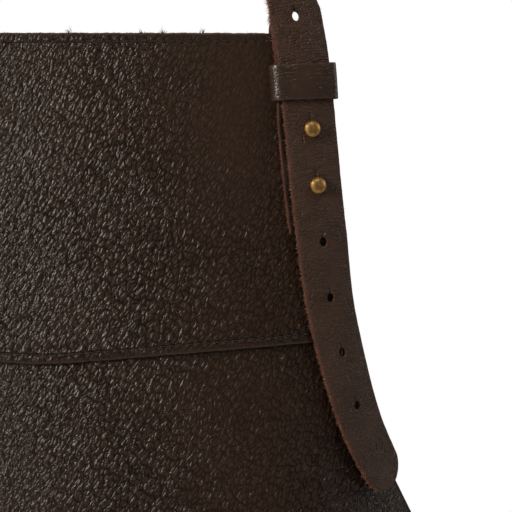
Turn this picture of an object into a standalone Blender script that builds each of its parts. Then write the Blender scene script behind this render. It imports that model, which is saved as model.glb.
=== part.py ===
"""Leather welding apron, shaped as it is worn, built as separate named pieces.

Frame: the origin is where the neck strap rests on the wearer's nape. +X is the
wearer's left, -Y is the front and +Z is up.

Everything that lies on the body is laid out flat first, in three coordinates:
u, the distance round the body from the middle of the front; drop, the distance
below the bib's top edge; and h, the distance out from the bib's front face.
"""
import math

import bmesh
import bpy
import numpy as np
from mathutils import Matrix, Vector

# ---- the cut pattern, metres ----
APRON_LENGTH = 0.914
HALF_WIDTH = 0.305
BIB_TOP_HALF_WIDTH = 0.122
ARMHOLE_DEPTH = 0.255
ARMHOLE_POWER = 3.0
WAIST_CORNER_RADIUS = 0.010
HEM_CORNER_RADIUS = 0.045
LEATHER = 0.0020
GAP = 0.0003
LAP = 0.020
SEAM_DROP = 0.1465
SEAM_SLOPE = 0.085
SEAM_SOFTNESS = 0.010
FACING_HALF_WIDTH = 0.096
FACING_HEIGHT = 0.028
FACING_THICKNESS = 0.0016

# ---- the wearer's shape, as the turn of the surface round the body ----
CHEST_TURN = math.radians(60.0)
CHEST_TURN_AT = 0.135
CHEST_TURN_SPREAD = 0.035
SIDE_TURN = math.radians(45.0)
SIDE_TURN_FROM = 0.150
SIDE_TURN_TO = 0.300
BACK_TURN = math.radians(75.0)
BACK_TURN_FROM = 0.305
BACK_TURN_TO = 0.430
SURFACE_STEP = 0.0005
CHEST_Y = -0.140
BIB_TOP_Z = -0.235

# ---- straps, anchors and keepers ----
STRAP_WIDTH = 0.0215
STRAP_THICKNESS = 0.0030
HOLE_PITCH = 0.025
HOLE_RADIUS = 0.0017
SLIT_WIDTH = 0.0005
SLIT_LENGTH = 0.0045
NECK_HOLES_ABOVE_STUDS = 3
TAIL_HOLES = 4
UPPER_STUD_U = 0.1174
UPPER_STUD_DROP = 0.0427
TAIL_SPLIT = 0.0375
TAIL_END = 0.1680
# (distance below the upper stud, degrees that the strap leans outward)
STRAP_LEAN = ((-0.100, 12.4), (-0.055, 12.4), (-0.036, 8.6), (-0.020, 5.8), (0.000, 6.0),
              (0.012, 5.2), (0.050, 7.4), (0.0875, 13.4), (0.1125, 17.0), (0.130, 22.5),
              (0.145, 32.0), (0.170, 40.0))
# (distance below the upper stud, height of the strap's inner face above the bib)
STRAP_LIFT = ((-0.100, 0.0056), (-0.010, 0.0056), (0.000, 0.0052), (0.044, 0.0050),
              (0.085, 0.0018), (0.165, 0.0012))
ANCHOR_LEFT = -0.013
ANCHOR_RIGHT = 0.0095
ANCHOR_THICKNESS = 0.0028
# (drop, u) of the line through an anchor's two studs and up over the bib's top edge
ANCHOR_ROUTE = ((-0.006, 0.1135), (0.012, 0.1157), (0.0427, 0.1174), (0.0675, 0.1197),
                (0.089, 0.1224))
ANCHOR_FRONT_END = 0.089
ANCHOR_BACK_END = 0.082
ANCHOR_LIFT_AT_FOLD = 0.0024
ANCHOR_LIFT_AT_STUDS = 0.0010
ANCHOR_FOLD_DROP = 0.0012
ANCHOR_BACK_GAP = 0.0006
ANCHOR_FALL = (0.031, 0.041)
ANCHOR_FOLD_STEPS = 8
KEEPER_HEIGHT = 0.016
KEEPER_WALL = 0.0016
KEEPER_DROP = 0.0218
KEEPER_CORNER = 0.0026
KEEPER_CLEARANCE = 0.0004
KEEPER_SIDE_CLEARANCE = 0.0009
KEEPER_SLOPE = 0.075

# ---- the neck loop above the bib ----
FREE_FROM = -0.052
LOOP_RISE = 0.170
NAPE_REACH = 0.085
SHOULDER_NORMAL = Vector((0.55, -0.10, 1.20))
NAPE_NORMAL = Vector((0.0, 0.80, 0.60))
FREE_STEPS = 26

# ---- waist straps ----
WAIST_DROP = 0.275
WAIST_FRONT_END = 0.257
WAIST_LIFT = -0.0019
WAIST_OUTER_LIFT = 0.0025
WAIST_CLIMB_FROM = 0.340
WAIST_CLIMB_END_BEFORE_MIDDLE = 0.060
WAIST_POST_END = 0.0012
WAIST_INNER_PAST_MIDDLE = 0.045
WAIST_OUTER_PAST_MIDDLE = 0.090
WAIST_STUD_PAST_MIDDLE = (-0.020, 0.005)
WAIST_HOLES = 7
WAIST_LAST_HOLE_PAST_MIDDLE = 0.055
WAIST_KEEPER_PAST_MIDDLE = 0.035
RIVET_U = (0.2655, 0.2905)
RIVET_RADIUS = 0.0018
RIVET_HEAD_RADIUS = 0.0045
RIVET_HEAD_HEIGHT = 0.0012

# ---- studs and screws ----
STUD_HEAD_RADIUS = 0.0037
STUD_HEAD_HEIGHT = 0.0034
STUD_NECK_RADIUS = 0.0017
STUD_HOLE_RADIUS = 0.0021
FLANGE_RADIUS = 0.0042
FLANGE_HEIGHT = 0.0008
POST_RADIUS = 0.0024
POST_HOLE_RADIUS = 0.0027
THIN_CUT = 0.0024
THROUGH_CUT = 0.0040
BORE_RADIUS = 0.0017
SCREW_RADIUS = 0.0014
SCREW_HEAD_RADIUS = 0.0042
SCREW_HEAD_HEIGHT = 0.0012
SCREW_SLOT_WIDTH = 0.0009
SCREW_SLOT_DEPTH = 0.0006
ROUND_STEPS = 14

SIDES = (("left", 1), ("right", -1))


# ---------------------------------------------------------------- the surface
def smooth(x):
    """Ease from 0 to 1 as x goes from 0 to 1."""
    x = np.clip(x, 0.0, 1.0)
    return x * x * (3.0 - 2.0 * x)


def turn(u):
    """Direction of the surface at u, from 0 across the chest to 180 degrees across the back."""
    half = 0.5 * CHEST_TURN
    start = math.tanh(-CHEST_TURN_AT / CHEST_TURN_SPREAD)
    chest = half * (np.tanh((u - CHEST_TURN_AT) / CHEST_TURN_SPREAD) - start)
    side = SIDE_TURN * smooth((u - SIDE_TURN_FROM) / (SIDE_TURN_TO - SIDE_TURN_FROM))
    rest = math.pi - CHEST_TURN - SIDE_TURN
    back = rest * smooth((u - BACK_TURN_FROM) / (BACK_TURN_TO - BACK_TURN_FROM))
    return chest + side + back


def surface_table():
    """Walk round the body in small steps, from the middle of the front to the middle of the back."""
    u = np.arange(0.0, 0.60, SURFACE_STEP)
    middle = turn(u[:-1] + 0.5 * SURFACE_STEP)
    x = np.concatenate(([0.0], np.cumsum(np.cos(middle)) * SURFACE_STEP))
    y = np.concatenate(([0.0], np.cumsum(np.sin(middle)) * SURFACE_STEP))
    return u, x, y


TABLE_U, TABLE_X, TABLE_Y = surface_table()
BACK_MIDDLE = BACK_TURN_TO + float(np.interp(BACK_TURN_TO, TABLE_U, TABLE_X))


def fold_u(u):
    """Distance from the front's middle on one half of the body, and which half it is."""
    side = 1.0 if u >= 0.0 else -1.0
    distance = abs(u)
    if distance > BACK_MIDDLE:
        distance = 2.0 * BACK_MIDDLE - distance
        side = -side
    return distance, side


def outward(u):
    """Unit vector that points out of the surface at u."""
    distance, side = fold_u(u)
    angle = float(turn(distance))
    return Vector((side * math.sin(angle), -math.cos(angle), 0.0))


def place(u, drop, h):
    """Point of the worn apron for a point of its flat pattern."""
    distance, side = fold_u(u)
    x = side * float(np.interp(distance, TABLE_U, TABLE_X))
    y = float(np.interp(distance, TABLE_U, TABLE_Y))
    return Vector((x, CHEST_Y + y, BIB_TOP_Z - drop)) + h * outward(u)


def armhole(u):
    """Drop of the apron's upper edge at u: level across the bib, then a concave armhole."""
    reach = (HALF_WIDTH - abs(u)) / (HALF_WIDTH - BIB_TOP_HALF_WIDTH)
    edge = ARMHOLE_DEPTH * max(0.0, 1.0 - reach * reach) ** (1.0 / ARMHOLE_POWER)
    past = max(0.0, abs(u) - (HALF_WIDTH - WAIST_CORNER_RADIUS))
    return edge + WAIST_CORNER_RADIUS - math.sqrt(WAIST_CORNER_RADIUS ** 2 - past ** 2)


def seam(u):
    """Drop of the bib's lapped lower edge, a shallow soft V."""
    return SEAM_DROP - SEAM_SLOPE * (math.hypot(u, SEAM_SOFTNESS) - SEAM_SOFTNESS)


def hem(u):
    """Drop of the apron's foot, with rounded corners."""
    past = max(0.0, abs(u) - (HALF_WIDTH - HEM_CORNER_RADIUS))
    return APRON_LENGTH - HEM_CORNER_RADIUS + math.sqrt(HEM_CORNER_RADIUS ** 2 - past ** 2)


# ---------------------------------------------------------------- making objects
def clear_scene():
    for item in list(bpy.data.objects):
        bpy.data.objects.remove(item, do_unlink=True)


def principled(name, colour, roughness, metallic):
    material = bpy.data.materials.new(name)
    material.use_nodes = True
    shader = material.node_tree.nodes["Principled BSDF"]
    shader.inputs["Base Color"].default_value = (*colour, 1.0)
    shader.inputs["Roughness"].default_value = roughness
    shader.inputs["Metallic"].default_value = metallic
    return material


def grain_leather():
    return principled("grain_leather", (0.040, 0.024, 0.018), 0.55, 0.0)


def strap_leather():
    return principled("strap_leather", (0.048, 0.030, 0.023), 0.62, 0.0)


def aged_brass():
    return principled("aged_brass", (0.36, 0.21, 0.075), 0.38, 1.0)


def new_object(name, mesh, material):
    item = bpy.data.objects.new(name, mesh)
    bpy.context.scene.collection.objects.link(item)
    mesh.materials.append(material)
    return item


def mesh_from(name, points, faces):
    """Closed mesh from points and faces, with every face turned outward."""
    mesh = bpy.data.meshes.new(name)
    mesh.from_pydata([tuple(p) for p in points], [], faces)
    work = bmesh.new()
    work.from_mesh(mesh)
    bmesh.ops.recalc_face_normals(work, faces=work.faces)
    work.to_mesh(mesh)
    work.free()
    return mesh


def set_origin(item, point):
    """Move an object's origin to a point and leave its mesh where it is."""
    item.data.transform(Matrix.Translation(-Vector(point)))
    item.location = point


def swept_band(name, sections, material):
    """Solid band through sections, each a row of (inner, outer) point pairs across its width."""
    pairs = len(sections[0])
    loop = 2 * pairs
    points = []
    for section in sections:
        points.extend(inner for inner, outer in section)
        points.extend(outer for inner, outer in reversed(section))
    faces = []
    for row in range(len(sections) - 1):
        first = row * loop
        for k in range(loop):
            after = (k + 1) % loop
            faces.append((first + k, first + after, first + loop + after, first + loop + k))
    for first in (0, (len(sections) - 1) * loop):
        for k in range(pairs - 1):
            faces.append((first + k, first + k + 1, first + loop - 2 - k, first + loop - 1 - k))
    item = new_object(name, mesh_from(name, points, faces), material)
    item.data.shade_smooth()
    item.data.set_sharp_from_angle(angle=math.radians(35.0))
    return item


def swept_ring(name, outer_loops, inner_loops, material):
    """Open-ended sleeve between two outer loops and two inner loops of points."""
    count = len(outer_loops[0])
    points = [p for loop in (*outer_loops, *inner_loops) for p in loop]
    faces = []
    for k in range(count):
        after = (k + 1) % count
        for a, b in ((0, 1), (1, 3), (3, 2), (2, 0)):
            faces.append((a * count + k, a * count + after, b * count + after, b * count + k))
    item = new_object(name, mesh_from(name, points, faces), material)
    item.data.shade_smooth()
    item.data.set_sharp_from_angle(angle=math.radians(35.0))
    return item


def frame_at(point, axis):
    """Matrix whose Z runs along axis and whose Y is as near to up as it can be."""
    z = Vector(axis).normalized()
    x = Vector((0.0, 0.0, 1.0)).cross(z).normalized()
    y = z.cross(x)
    matrix = Matrix((x, y, z)).transposed().to_4x4()
    matrix.translation = point
    return matrix


def turned(name, profile, matrix, material):
    """Solid of revolution about Z. The profile's first and last points are on the axis."""
    points = [Vector((0.0, 0.0, profile[0][1])), Vector((0.0, 0.0, profile[-1][1]))]
    rings = profile[1:-1]
    for radius, z in rings:
        for k in range(ROUND_STEPS):
            angle = 2.0 * math.pi * k / ROUND_STEPS
            points.append(Vector((radius * math.cos(angle), radius * math.sin(angle), z)))
    faces = []
    last = 2 + (len(rings) - 1) * ROUND_STEPS
    for k in range(ROUND_STEPS):
        after = (k + 1) % ROUND_STEPS
        faces.append((0, 2 + k, 2 + after))
        faces.append((1, last + after, last + k))
        for row in range(len(rings) - 1):
            first = 2 + row * ROUND_STEPS
            faces.append((first + k, first + ROUND_STEPS + k,
                          first + ROUND_STEPS + after, first + after))
    item = new_object(name, mesh_from(name, points, faces), material)
    item.matrix_world = matrix
    item.data.shade_smooth()
    item.data.set_sharp_from_angle(angle=math.radians(40.0))
    return item


def keyhole_outline(radius, slit_length):
    """Round hole whose upper side runs into a short slit, or a plain round hole."""
    if slit_length == 0.0:
        turns = [2.0 * math.pi * k / 10 for k in range(10)]
        return [(radius * math.cos(a), radius * math.sin(a)) for a in turns]
    half = 0.5 * SLIT_WIDTH
    mouth = math.asin(half / radius)
    start = 0.5 * math.pi + mouth
    sweep = 2.0 * math.pi - 2.0 * mouth
    outline = []
    for k in range(11):
        angle = start + sweep * k / 10
        outline.append((radius * math.cos(angle), radius * math.sin(angle)))
    top = radius + slit_length
    return outline + [(half, top), (-half, top)]


def hole_cutter(target, holes):
    """Cut holes into an object. Each hole is a matrix, radius, slit length and half depth."""
    points, faces = [], []
    for matrix, radius, slit_length, depth in holes:
        outline = keyhole_outline(radius, slit_length)
        count = len(outline)
        base = len(points)
        for z in (-depth, depth):
            points.extend(matrix @ Vector((x, y, z)) for x, y in outline)
        faces.append(tuple(base + k for k in reversed(range(count))))
        faces.append(tuple(base + count + k for k in range(count)))
        for k in range(count):
            after = (k + 1) % count
            faces.append((base + k, base + after, base + count + after, base + count + k))
    add_cut(target, mesh_from(target.name + "_cutter", points, faces))


def add_cut(target, mesh):
    cutter = bpy.data.objects.new(mesh.name, mesh)
    bpy.context.scene.collection.objects.link(cutter)
    cutter.hide_render = True
    cutter.display_type = "WIRE"
    cut = target.modifiers.new("holes", "BOOLEAN")
    cut.operation = "DIFFERENCE"
    cut.solver = "EXACT"
    cut.object = cutter


# ---------------------------------------------------------------- the panels
def panel(name, columns, top, bottom, h_front, thickness):
    """Sheet between two edges, which are functions of u, at the given columns."""
    sections = []
    for u in columns:
        upper = (place(u, top(u), h_front - thickness), place(u, top(u), h_front))
        lower = (place(u, bottom(u), h_front - thickness), place(u, bottom(u), h_front))
        sections.append([upper, lower])
    return swept_band(name, sections, grain_leather())


def both_sides(half):
    """Columns on one half of the body, repeated on the other."""
    return [-u for u in reversed(half)] + list(half)


def make_bib():
    edge = BIB_TOP_HALF_WIDTH
    half = [0.010, 0.030, 0.055, 0.075, 0.090, 0.098, 0.104, 0.110, 0.116, edge]
    half += [edge + past for past in (0.00001, 0.0005, 0.0020, 0.0050, 0.0085, 0.0120)]
    bib = panel("bib_panel", both_sides(half), armhole, seam, 0.0, LEATHER)
    holes = []
    for _side, sign in SIDES:
        for distance in (0.0, HOLE_PITCH):
            middle = strap_frame(distance, sign, -0.5 * LEATHER)
            holes.append((middle, POST_HOLE_RADIUS, 0.0, THIN_CUT))
    hole_cutter(bib, holes)


def make_body():
    def top(u):
        return max(seam(u) - LAP, armhole(u))

    half = [0.010, 0.040, 0.070, 0.090, 0.101, 0.111, 0.120]
    half += list(np.arange(0.1295, 0.165, 0.005))
    half += list(np.arange(0.170, 0.258, 0.010))
    corner = HALF_WIDTH - HEM_CORNER_RADIUS
    half += [corner + HEM_CORNER_RADIUS * math.sin(math.radians(a)) for a in (0, 20, 38, 54, 68)]
    waist = HALF_WIDTH - WAIST_CORNER_RADIUS
    half += [waist + WAIST_CORNER_RADIUS * math.sin(math.radians(a)) for a in (45, 66, 80, 89.9)]
    half = sorted(half)
    body = panel("body_panel", both_sides(half), top, hem, -(LEATHER + GAP), LEATHER)
    holes = []
    for _side, sign in SIDES:
        for u in RIVET_U:
            middle = place(sign * u, WAIST_DROP, -(1.5 * LEATHER + GAP))
            holes.append((frame_at(middle, outward(sign * u)), RIVET_RADIUS + GAP, 0.0, THIN_CUT))
    hole_cutter(body, holes)


def make_facing():
    half = [0.010, 0.040, 0.070, 0.085, FACING_HALF_WIDTH]
    panel("top_facing", both_sides(half), lambda u: 0.0005, lambda u: FACING_HEIGHT,
          -(LEATHER + GAP), FACING_THICKNESS)


# ---------------------------------------------------------------- the neck strap's route
def ramp(distance, knots):
    """Smooth value between hand-set (distance, value) pairs."""
    for (d0, v0), (d1, v1) in zip(knots, knots[1:]):
        if distance <= d1:
            return v0 + (v1 - v0) * float(smooth((distance - d0) / (d1 - d0)))
    return knots[-1][1]


def lean(distance):
    """Lean of the strap at a distance below the upper stud, in radians."""
    values = np.array(STRAP_LEAN)
    return math.radians(float(np.interp(distance, values[:, 0], values[:, 1])))


def strap_table():
    """Flat-pattern route of the strap's middle line, measured from the upper stud."""
    step = 0.0005
    down = np.arange(0.0, 0.170, step)
    up = -np.arange(0.0, 0.095, step)
    rows = []
    for distances, sign in ((up, -1.0), (down, 1.0)):
        u, drop = UPPER_STUD_U, UPPER_STUD_DROP
        half = []
        for d in distances:
            half.append((d, u, drop))
            angle = lean(d + 0.5 * sign * step)
            u += sign * step * math.sin(angle)
            drop += sign * step * math.cos(angle)
        rows.append(half)
    return np.array(list(reversed(rows[0][1:])) + rows[1])


STRAP_TABLE = strap_table()


def strap_middle(distance):
    u = float(np.interp(distance, STRAP_TABLE[:, 0], STRAP_TABLE[:, 1]))
    drop = float(np.interp(distance, STRAP_TABLE[:, 0], STRAP_TABLE[:, 2]))
    return u, drop


def strap_point(distance, across, h):
    """Point on or beside the strap: across is to the wearer's left of its middle line."""
    u, drop = strap_middle(distance)
    angle = lean(distance)
    return place(u + across * math.cos(angle), drop - across * math.sin(angle), h)


def mirrored(point):
    return Vector((-point.x, point.y, point.z))


def strap_frame(distance, sign, h):
    """Frame on the strap's middle line, with Z outward and Y up along the strap."""
    u, drop = strap_middle(distance)
    origin = place(u, drop, h)
    above = strap_point(distance - 0.002, 0.0, h)
    z = outward(u)
    y = (above - origin).normalized()
    if sign < 0:
        origin, y, z = mirrored(origin), mirrored(y), mirrored(z)
    x = y.cross(z).normalized()
    y = z.cross(x)
    matrix = Matrix((x, y, z)).transposed().to_4x4()
    matrix.translation = origin
    return matrix


def across_steps(half, columns):
    return [half * (2.0 * k / columns - 1.0) for k in range(columns + 1)]


def strap_section(distance, half=0.5 * STRAP_WIDTH):
    lift = ramp(distance, STRAP_LIFT)
    section = []
    for across in across_steps(half, 3):
        inner = strap_point(distance, across, lift)
        section.append((inner, strap_point(distance, across, lift + STRAP_THICKNESS)))
    return section


def free_loop_sections():
    """Sections of the neck strap from the bib's top edge to the nape, as a smooth free curve."""
    u, drop = strap_middle(FREE_FROM)
    lift = ramp(FREE_FROM, STRAP_LIFT) + 0.5 * STRAP_THICKNESS
    start = place(u, drop, lift)
    rise = (strap_point(FREE_FROM - 0.001, 0.0, lift) - start).normalized()
    nape = NAPE_NORMAL.normalized()
    end = 0.5 * STRAP_THICKNESS * nape
    controls = (start, start + LOOP_RISE * rise, end + Vector((NAPE_REACH, 0.0, 0.0)), end)
    normals = (outward(u), SHOULDER_NORMAL, nape)
    bend = float(turn(u + 0.001) - turn(u - 0.001)) / 0.002
    sections = []
    for k in range(1, FREE_STEPS + 1):
        t = k / FREE_STEPS
        sections.append(free_section(controls, normals, bend * (1.0 - float(smooth(3.0 * t))), t))
    return sections


def free_section(controls, normals, bend, t):
    p0, p1, p2, p3 = controls
    s = 1.0 - t
    centre = s ** 3 * p0 + 3 * s * s * t * p1 + 3 * s * t * t * p2 + t ** 3 * p3
    along = (s * s * (p1 - p0) + 2 * s * t * (p2 - p1) + t * t * (p3 - p2)).normalized()
    normal = s * s * normals[0] + 2 * s * t * normals[1] + t * t * normals[2]
    normal = (normal - normal.dot(along) * along).normalized()
    side = along.cross(normal)
    section = []
    for across in across_steps(0.5 * STRAP_WIDTH, 3):
        angle = bend * across
        local = (normal * math.cos(angle) + side * math.sin(angle)).normalized()
        point = centre + side * across - normal * 0.5 * bend * across * across
        section.append((point - 0.5 * STRAP_THICKNESS * local,
                        point + 0.5 * STRAP_THICKNESS * local))
    return section


def mirrored_section(section):
    return [(mirrored(inner), mirrored(outer)) for inner, outer in section]


def make_neck_strap():
    on_body = np.linspace(TAIL_SPLIT - GAP, FREE_FROM, 14)
    half = [strap_section(float(d)) for d in on_body] + free_loop_sections()
    whole = half + [mirrored_section(section) for section in reversed(half[:-1])]
    strap = swept_band("neck_strap", whole, strap_leather())
    holes = []
    for _side, sign in SIDES:
        for k in range(-NECK_HOLES_ABOVE_STUDS, 2):
            distance = k * HOLE_PITCH
            radius = STUD_HOLE_RADIUS if k >= 0 else HOLE_RADIUS
            if distance > FREE_FROM:
                lift = ramp(distance, STRAP_LIFT) + 0.5 * STRAP_THICKNESS
                matrix = strap_frame(distance, sign, lift)
            else:
                matrix = free_frame(distance, sign)
            holes.append((matrix, radius, SLIT_LENGTH, THROUGH_CUT))
    hole_cutter(strap, holes)


def free_frame(distance, sign):
    """Frame on the free part of the strap, at a distance along it from the upper stud."""
    lift = ramp(FREE_FROM, STRAP_LIFT) + 0.5 * STRAP_THICKNESS
    sections = free_loop_sections()
    middles = [0.25 * (s[1][0] + s[1][1] + s[2][0] + s[2][1]) for s in sections]
    travelled = FREE_FROM - (middles[0] - strap_point(FREE_FROM, 0.0, lift)).length
    k = 0
    while travelled > distance:
        travelled -= (middles[k + 1] - middles[k]).length
        k += 1
    y = (middles[k + 1] - middles[k]).normalized()
    across = (sections[k][2][0] - sections[k][1][0]).normalized()
    z = across.cross(y).normalized()
    origin = middles[k] - (distance - travelled) * y
    if sign < 0:
        origin, y, z = mirrored(origin), mirrored(y), mirrored(z)
    x = y.cross(z).normalized()
    matrix = Matrix((x, y, z)).transposed().to_4x4()
    matrix.translation = origin
    return matrix


def make_tails():
    straight = 0.5 * STRAP_WIDTH
    tip_from = TAIL_END - straight
    distances = list(np.linspace(TAIL_SPLIT, tip_from, 15))
    rounds = [math.radians(a) for a in (18, 36, 52, 66, 78)]
    for side, sign in SIDES:
        sections = [strap_section(float(d)) for d in distances]
        for angle in rounds:
            section = strap_section(tip_from + straight * math.sin(angle),
                                    straight * math.cos(angle))
            sections.append(section)
        if sign < 0:
            sections = [mirrored_section(section) for section in sections]
        tail = swept_band("strap_tail_" + side, sections, strap_leather())
        holes = []
        for k in range(TAIL_HOLES):
            distance = (k + 2) * HOLE_PITCH
            lift = ramp(distance, STRAP_LIFT) + 0.5 * STRAP_THICKNESS
            holes.append((strap_frame(distance, sign, lift), HOLE_RADIUS, SLIT_LENGTH, THROUGH_CUT))
        hole_cutter(tail, holes)
        lift = ramp(TAIL_SPLIT, STRAP_LIFT) + STRAP_THICKNESS
        hinge = strap_point(TAIL_SPLIT, 0.0, lift)
        set_origin(tail, hinge if sign > 0 else mirrored(hinge))


# ---------------------------------------------------------------- anchors and keepers
def anchor_middle(drop):
    """Place round the body of the line through an anchor's two studs."""
    route = np.array(ANCHOR_ROUTE)
    return float(np.interp(drop, route[:, 0], route[:, 1]))


def anchor_lift(drop):
    fall = float(smooth((drop - ANCHOR_FALL[0]) / (ANCHOR_FALL[1] - ANCHOR_FALL[0])))
    return ANCHOR_LIFT_AT_FOLD + (ANCHOR_LIFT_AT_STUDS - ANCHOR_LIFT_AT_FOLD) * fall


def anchor_section(near, far):
    """Section across an anchor between two (drop, h) points, near the bib and far from it."""
    u = anchor_middle(0.5 * (near[0] + far[0]))
    section = []
    for k in range(4):
        across = ANCHOR_LEFT + (ANCHOR_RIGHT - ANCHOR_LEFT) * k / 3
        section.append((place(u + across, *near), place(u + across, *far)))
    return section


def make_anchors():
    back_near = -(LEATHER + ANCHOR_BACK_GAP)
    back_far = back_near - ANCHOR_THICKNESS
    path = [((d, back_near), (d, back_far))
            for d in (ANCHOR_BACK_END, 0.66 * ANCHOR_BACK_END, 0.33 * ANCHOR_BACK_END)]
    middle = 0.5 * (back_near + ANCHOR_LIFT_AT_FOLD)
    radius = 0.5 * (ANCHOR_LIFT_AT_FOLD - back_near)
    for k in range(ANCHOR_FOLD_STEPS + 1):
        angle = math.pi * (1.0 - k / ANCHOR_FOLD_STEPS)
        points = []
        for r in (radius, radius + ANCHOR_THICKNESS):
            points.append((ANCHOR_FOLD_DROP - r * math.sin(angle), middle + r * math.cos(angle)))
        path.append(tuple(points))
    front = [0.33 * ANCHOR_FALL[0], 0.66 * ANCHOR_FALL[0]]
    front += list(np.linspace(*ANCHOR_FALL, 5))
    front += list(np.linspace(ANCHOR_FALL[1], ANCHOR_FRONT_END, 4)[1:])
    for d in front:
        lift = anchor_lift(d)
        path.append(((d, lift), (d, lift + ANCHOR_THICKNESS)))
    for side, sign in SIDES:
        sections = [anchor_section(near, far) for near, far in path]
        if sign < 0:
            sections = [mirrored_section(section) for section in sections]
        anchor = swept_band("strap_anchor_" + side, sections, strap_leather())
        holes = []
        for distance in (0.0, HOLE_PITCH):
            outer_leg = strap_frame(distance, sign, ANCHOR_LIFT_AT_STUDS + 0.5 * ANCHOR_THICKNESS)
            inner_leg = strap_frame(distance, sign, back_near - 0.5 * ANCHOR_THICKNESS)
            holes.append((outer_leg, POST_HOLE_RADIUS, 0.0, THIN_CUT))
            holes.append((inner_leg, BORE_RADIUS, 0.0, THIN_CUT))
        hole_cutter(anchor, holes)


def rounded_loop(low_a, high_a, low_b, high_b, radius, wall_steps):
    """Rounded rectangle in two coordinates, with its long walls divided into steps."""
    loop = []
    corners = ((high_a, low_b, -90), (high_a, high_b, 0), (low_a, high_b, 90), (low_a, low_b, 180))
    for index, (a, b, start) in enumerate(corners):
        centre_a = a - radius if a == high_a else a + radius
        centre_b = b - radius if b == high_b else b + radius
        for k in range(4):
            angle = math.radians(start + 30 * k)
            loop.append((centre_a + radius * math.cos(angle), centre_b + radius * math.sin(angle)))
        if index in (1, 3):
            span = (high_a - low_a - 2.0 * radius) * (-1.0 if index == 1 else 1.0)
            for k in range(1, wall_steps):
                a_k = centre_a + span * k / wall_steps
                loop.append((a_k, b))
    return loop


def keeper_loops(left, right, low, high, wall_steps):
    outer = rounded_loop(left, right, low, high, KEEPER_CORNER, wall_steps)
    inner = rounded_loop(left + KEEPER_WALL, right - KEEPER_WALL, low + KEEPER_WALL,
                         high - KEEPER_WALL, KEEPER_CORNER - KEEPER_WALL, wall_steps)
    return outer, inner


def make_neck_keepers():
    clear = KEEPER_SIDE_CLEARANCE + KEEPER_WALL
    low = ANCHOR_LIFT_AT_FOLD - KEEPER_CLEARANCE - KEEPER_WALL
    high = STRAP_LIFT[0][1] + STRAP_THICKNESS + KEEPER_CLEARANCE + KEEPER_WALL
    outer, inner = keeper_loops(ANCHOR_LEFT - clear, ANCHOR_RIGHT + clear, low, high, 4)
    for side, sign in SIDES:
        loops = []
        for outline in (outer, inner):
            for drop in (KEEPER_DROP - 0.5 * KEEPER_HEIGHT, KEEPER_DROP + 0.5 * KEEPER_HEIGHT):
                u = anchor_middle(KEEPER_DROP) + KEEPER_SLOPE * (drop - KEEPER_DROP)
                loop = [place(u + across, drop, h) for across, h in outline]
                loops.append([mirrored(p) for p in loop] if sign < 0 else loop)
        keeper = swept_ring("neck_keeper_" + side, loops[:2], loops[2:], strap_leather())
        middle = place(anchor_middle(KEEPER_DROP), KEEPER_DROP, 0.5 * (low + high))
        set_origin(keeper, middle if sign > 0 else mirrored(middle))


# ---------------------------------------------------------------- the waist straps
def waist_section(u, lift, half):
    upper = (place(u, WAIST_DROP - half, lift), place(u, WAIST_DROP - half, lift + STRAP_THICKNESS))
    lower = (place(u, WAIST_DROP + half, lift), place(u, WAIST_DROP + half, lift + STRAP_THICKNESS))
    return [upper, lower]


def waist_sections(past_middle, lift_at):
    """Sections of a waist strap from its riveted end to its tip past the back's middle."""
    radius = 0.5 * STRAP_WIDTH
    end = BACK_MIDDLE + past_middle
    rounds = [math.radians(a) for a in (78, 64, 48, 30, 12)]
    sections = []
    for angle in rounds:
        u = WAIST_FRONT_END + radius * (1.0 - math.sin(angle))
        sections.append(waist_section(u, lift_at(u), radius * math.cos(angle)))
    middle = np.linspace(WAIST_FRONT_END + radius, end - radius, 38)
    sections += [waist_section(float(u), lift_at(float(u)), radius) for u in middle]
    for angle in reversed(rounds):
        u = end - radius * (1.0 - math.sin(angle))
        sections.append(waist_section(u, lift_at(u), radius * math.cos(angle)))
    return sections


def back_frame(past_middle, h):
    """Frame on the back, measured from its middle towards the wearer's right."""
    u = BACK_MIDDLE + past_middle
    return frame_at(place(u, WAIST_DROP, h), outward(u))


def make_waist_straps():
    def outer_lift(u):
        climb_end = BACK_MIDDLE - WAIST_CLIMB_END_BEFORE_MIDDLE
        climb = float(smooth((u - WAIST_CLIMB_FROM) / (climb_end - WAIST_CLIMB_FROM)))
        return WAIST_LIFT + (WAIST_OUTER_LIFT - WAIST_LIFT) * climb

    outer = swept_band("waist_strap_left", waist_sections(WAIST_OUTER_PAST_MIDDLE, outer_lift),
                       strap_leather())
    inner = waist_sections(WAIST_INNER_PAST_MIDDLE, lambda u: WAIST_LIFT)
    inner = swept_band("waist_strap_right", [mirrored_section(s) for s in inner], strap_leather())

    outer_holes, inner_holes = rivet_holes(1), rivet_holes(-1)
    for k in range(WAIST_HOLES):
        past = WAIST_LAST_HOLE_PAST_MIDDLE - k * HOLE_PITCH
        taken = any(abs(past - stud) < 0.001 for stud in WAIST_STUD_PAST_MIDDLE)
        radius = STUD_HOLE_RADIUS if taken else HOLE_RADIUS
        middle = outer_lift(BACK_MIDDLE + past) + 0.5 * STRAP_THICKNESS
        along = turned_flat(back_frame(past, middle))
        outer_holes.append((along, radius, SLIT_LENGTH, THROUGH_CUT))
    for past in WAIST_STUD_PAST_MIDDLE:
        middle = WAIST_LIFT + 0.5 * STRAP_THICKNESS
        inner_holes.append((back_frame(past, middle), POST_HOLE_RADIUS, 0.0, THIN_CUT))
    hole_cutter(outer, outer_holes)
    hole_cutter(inner, inner_holes)


def turned_flat(matrix):
    """The same frame with its Y along the strap, towards the riveted end."""
    return matrix @ Matrix.Rotation(math.radians(90.0), 4, "Z").inverted()


def rivet_frame(u, sign):
    return frame_at(place(sign * u, WAIST_DROP, 0.0), outward(sign * u))


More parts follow.
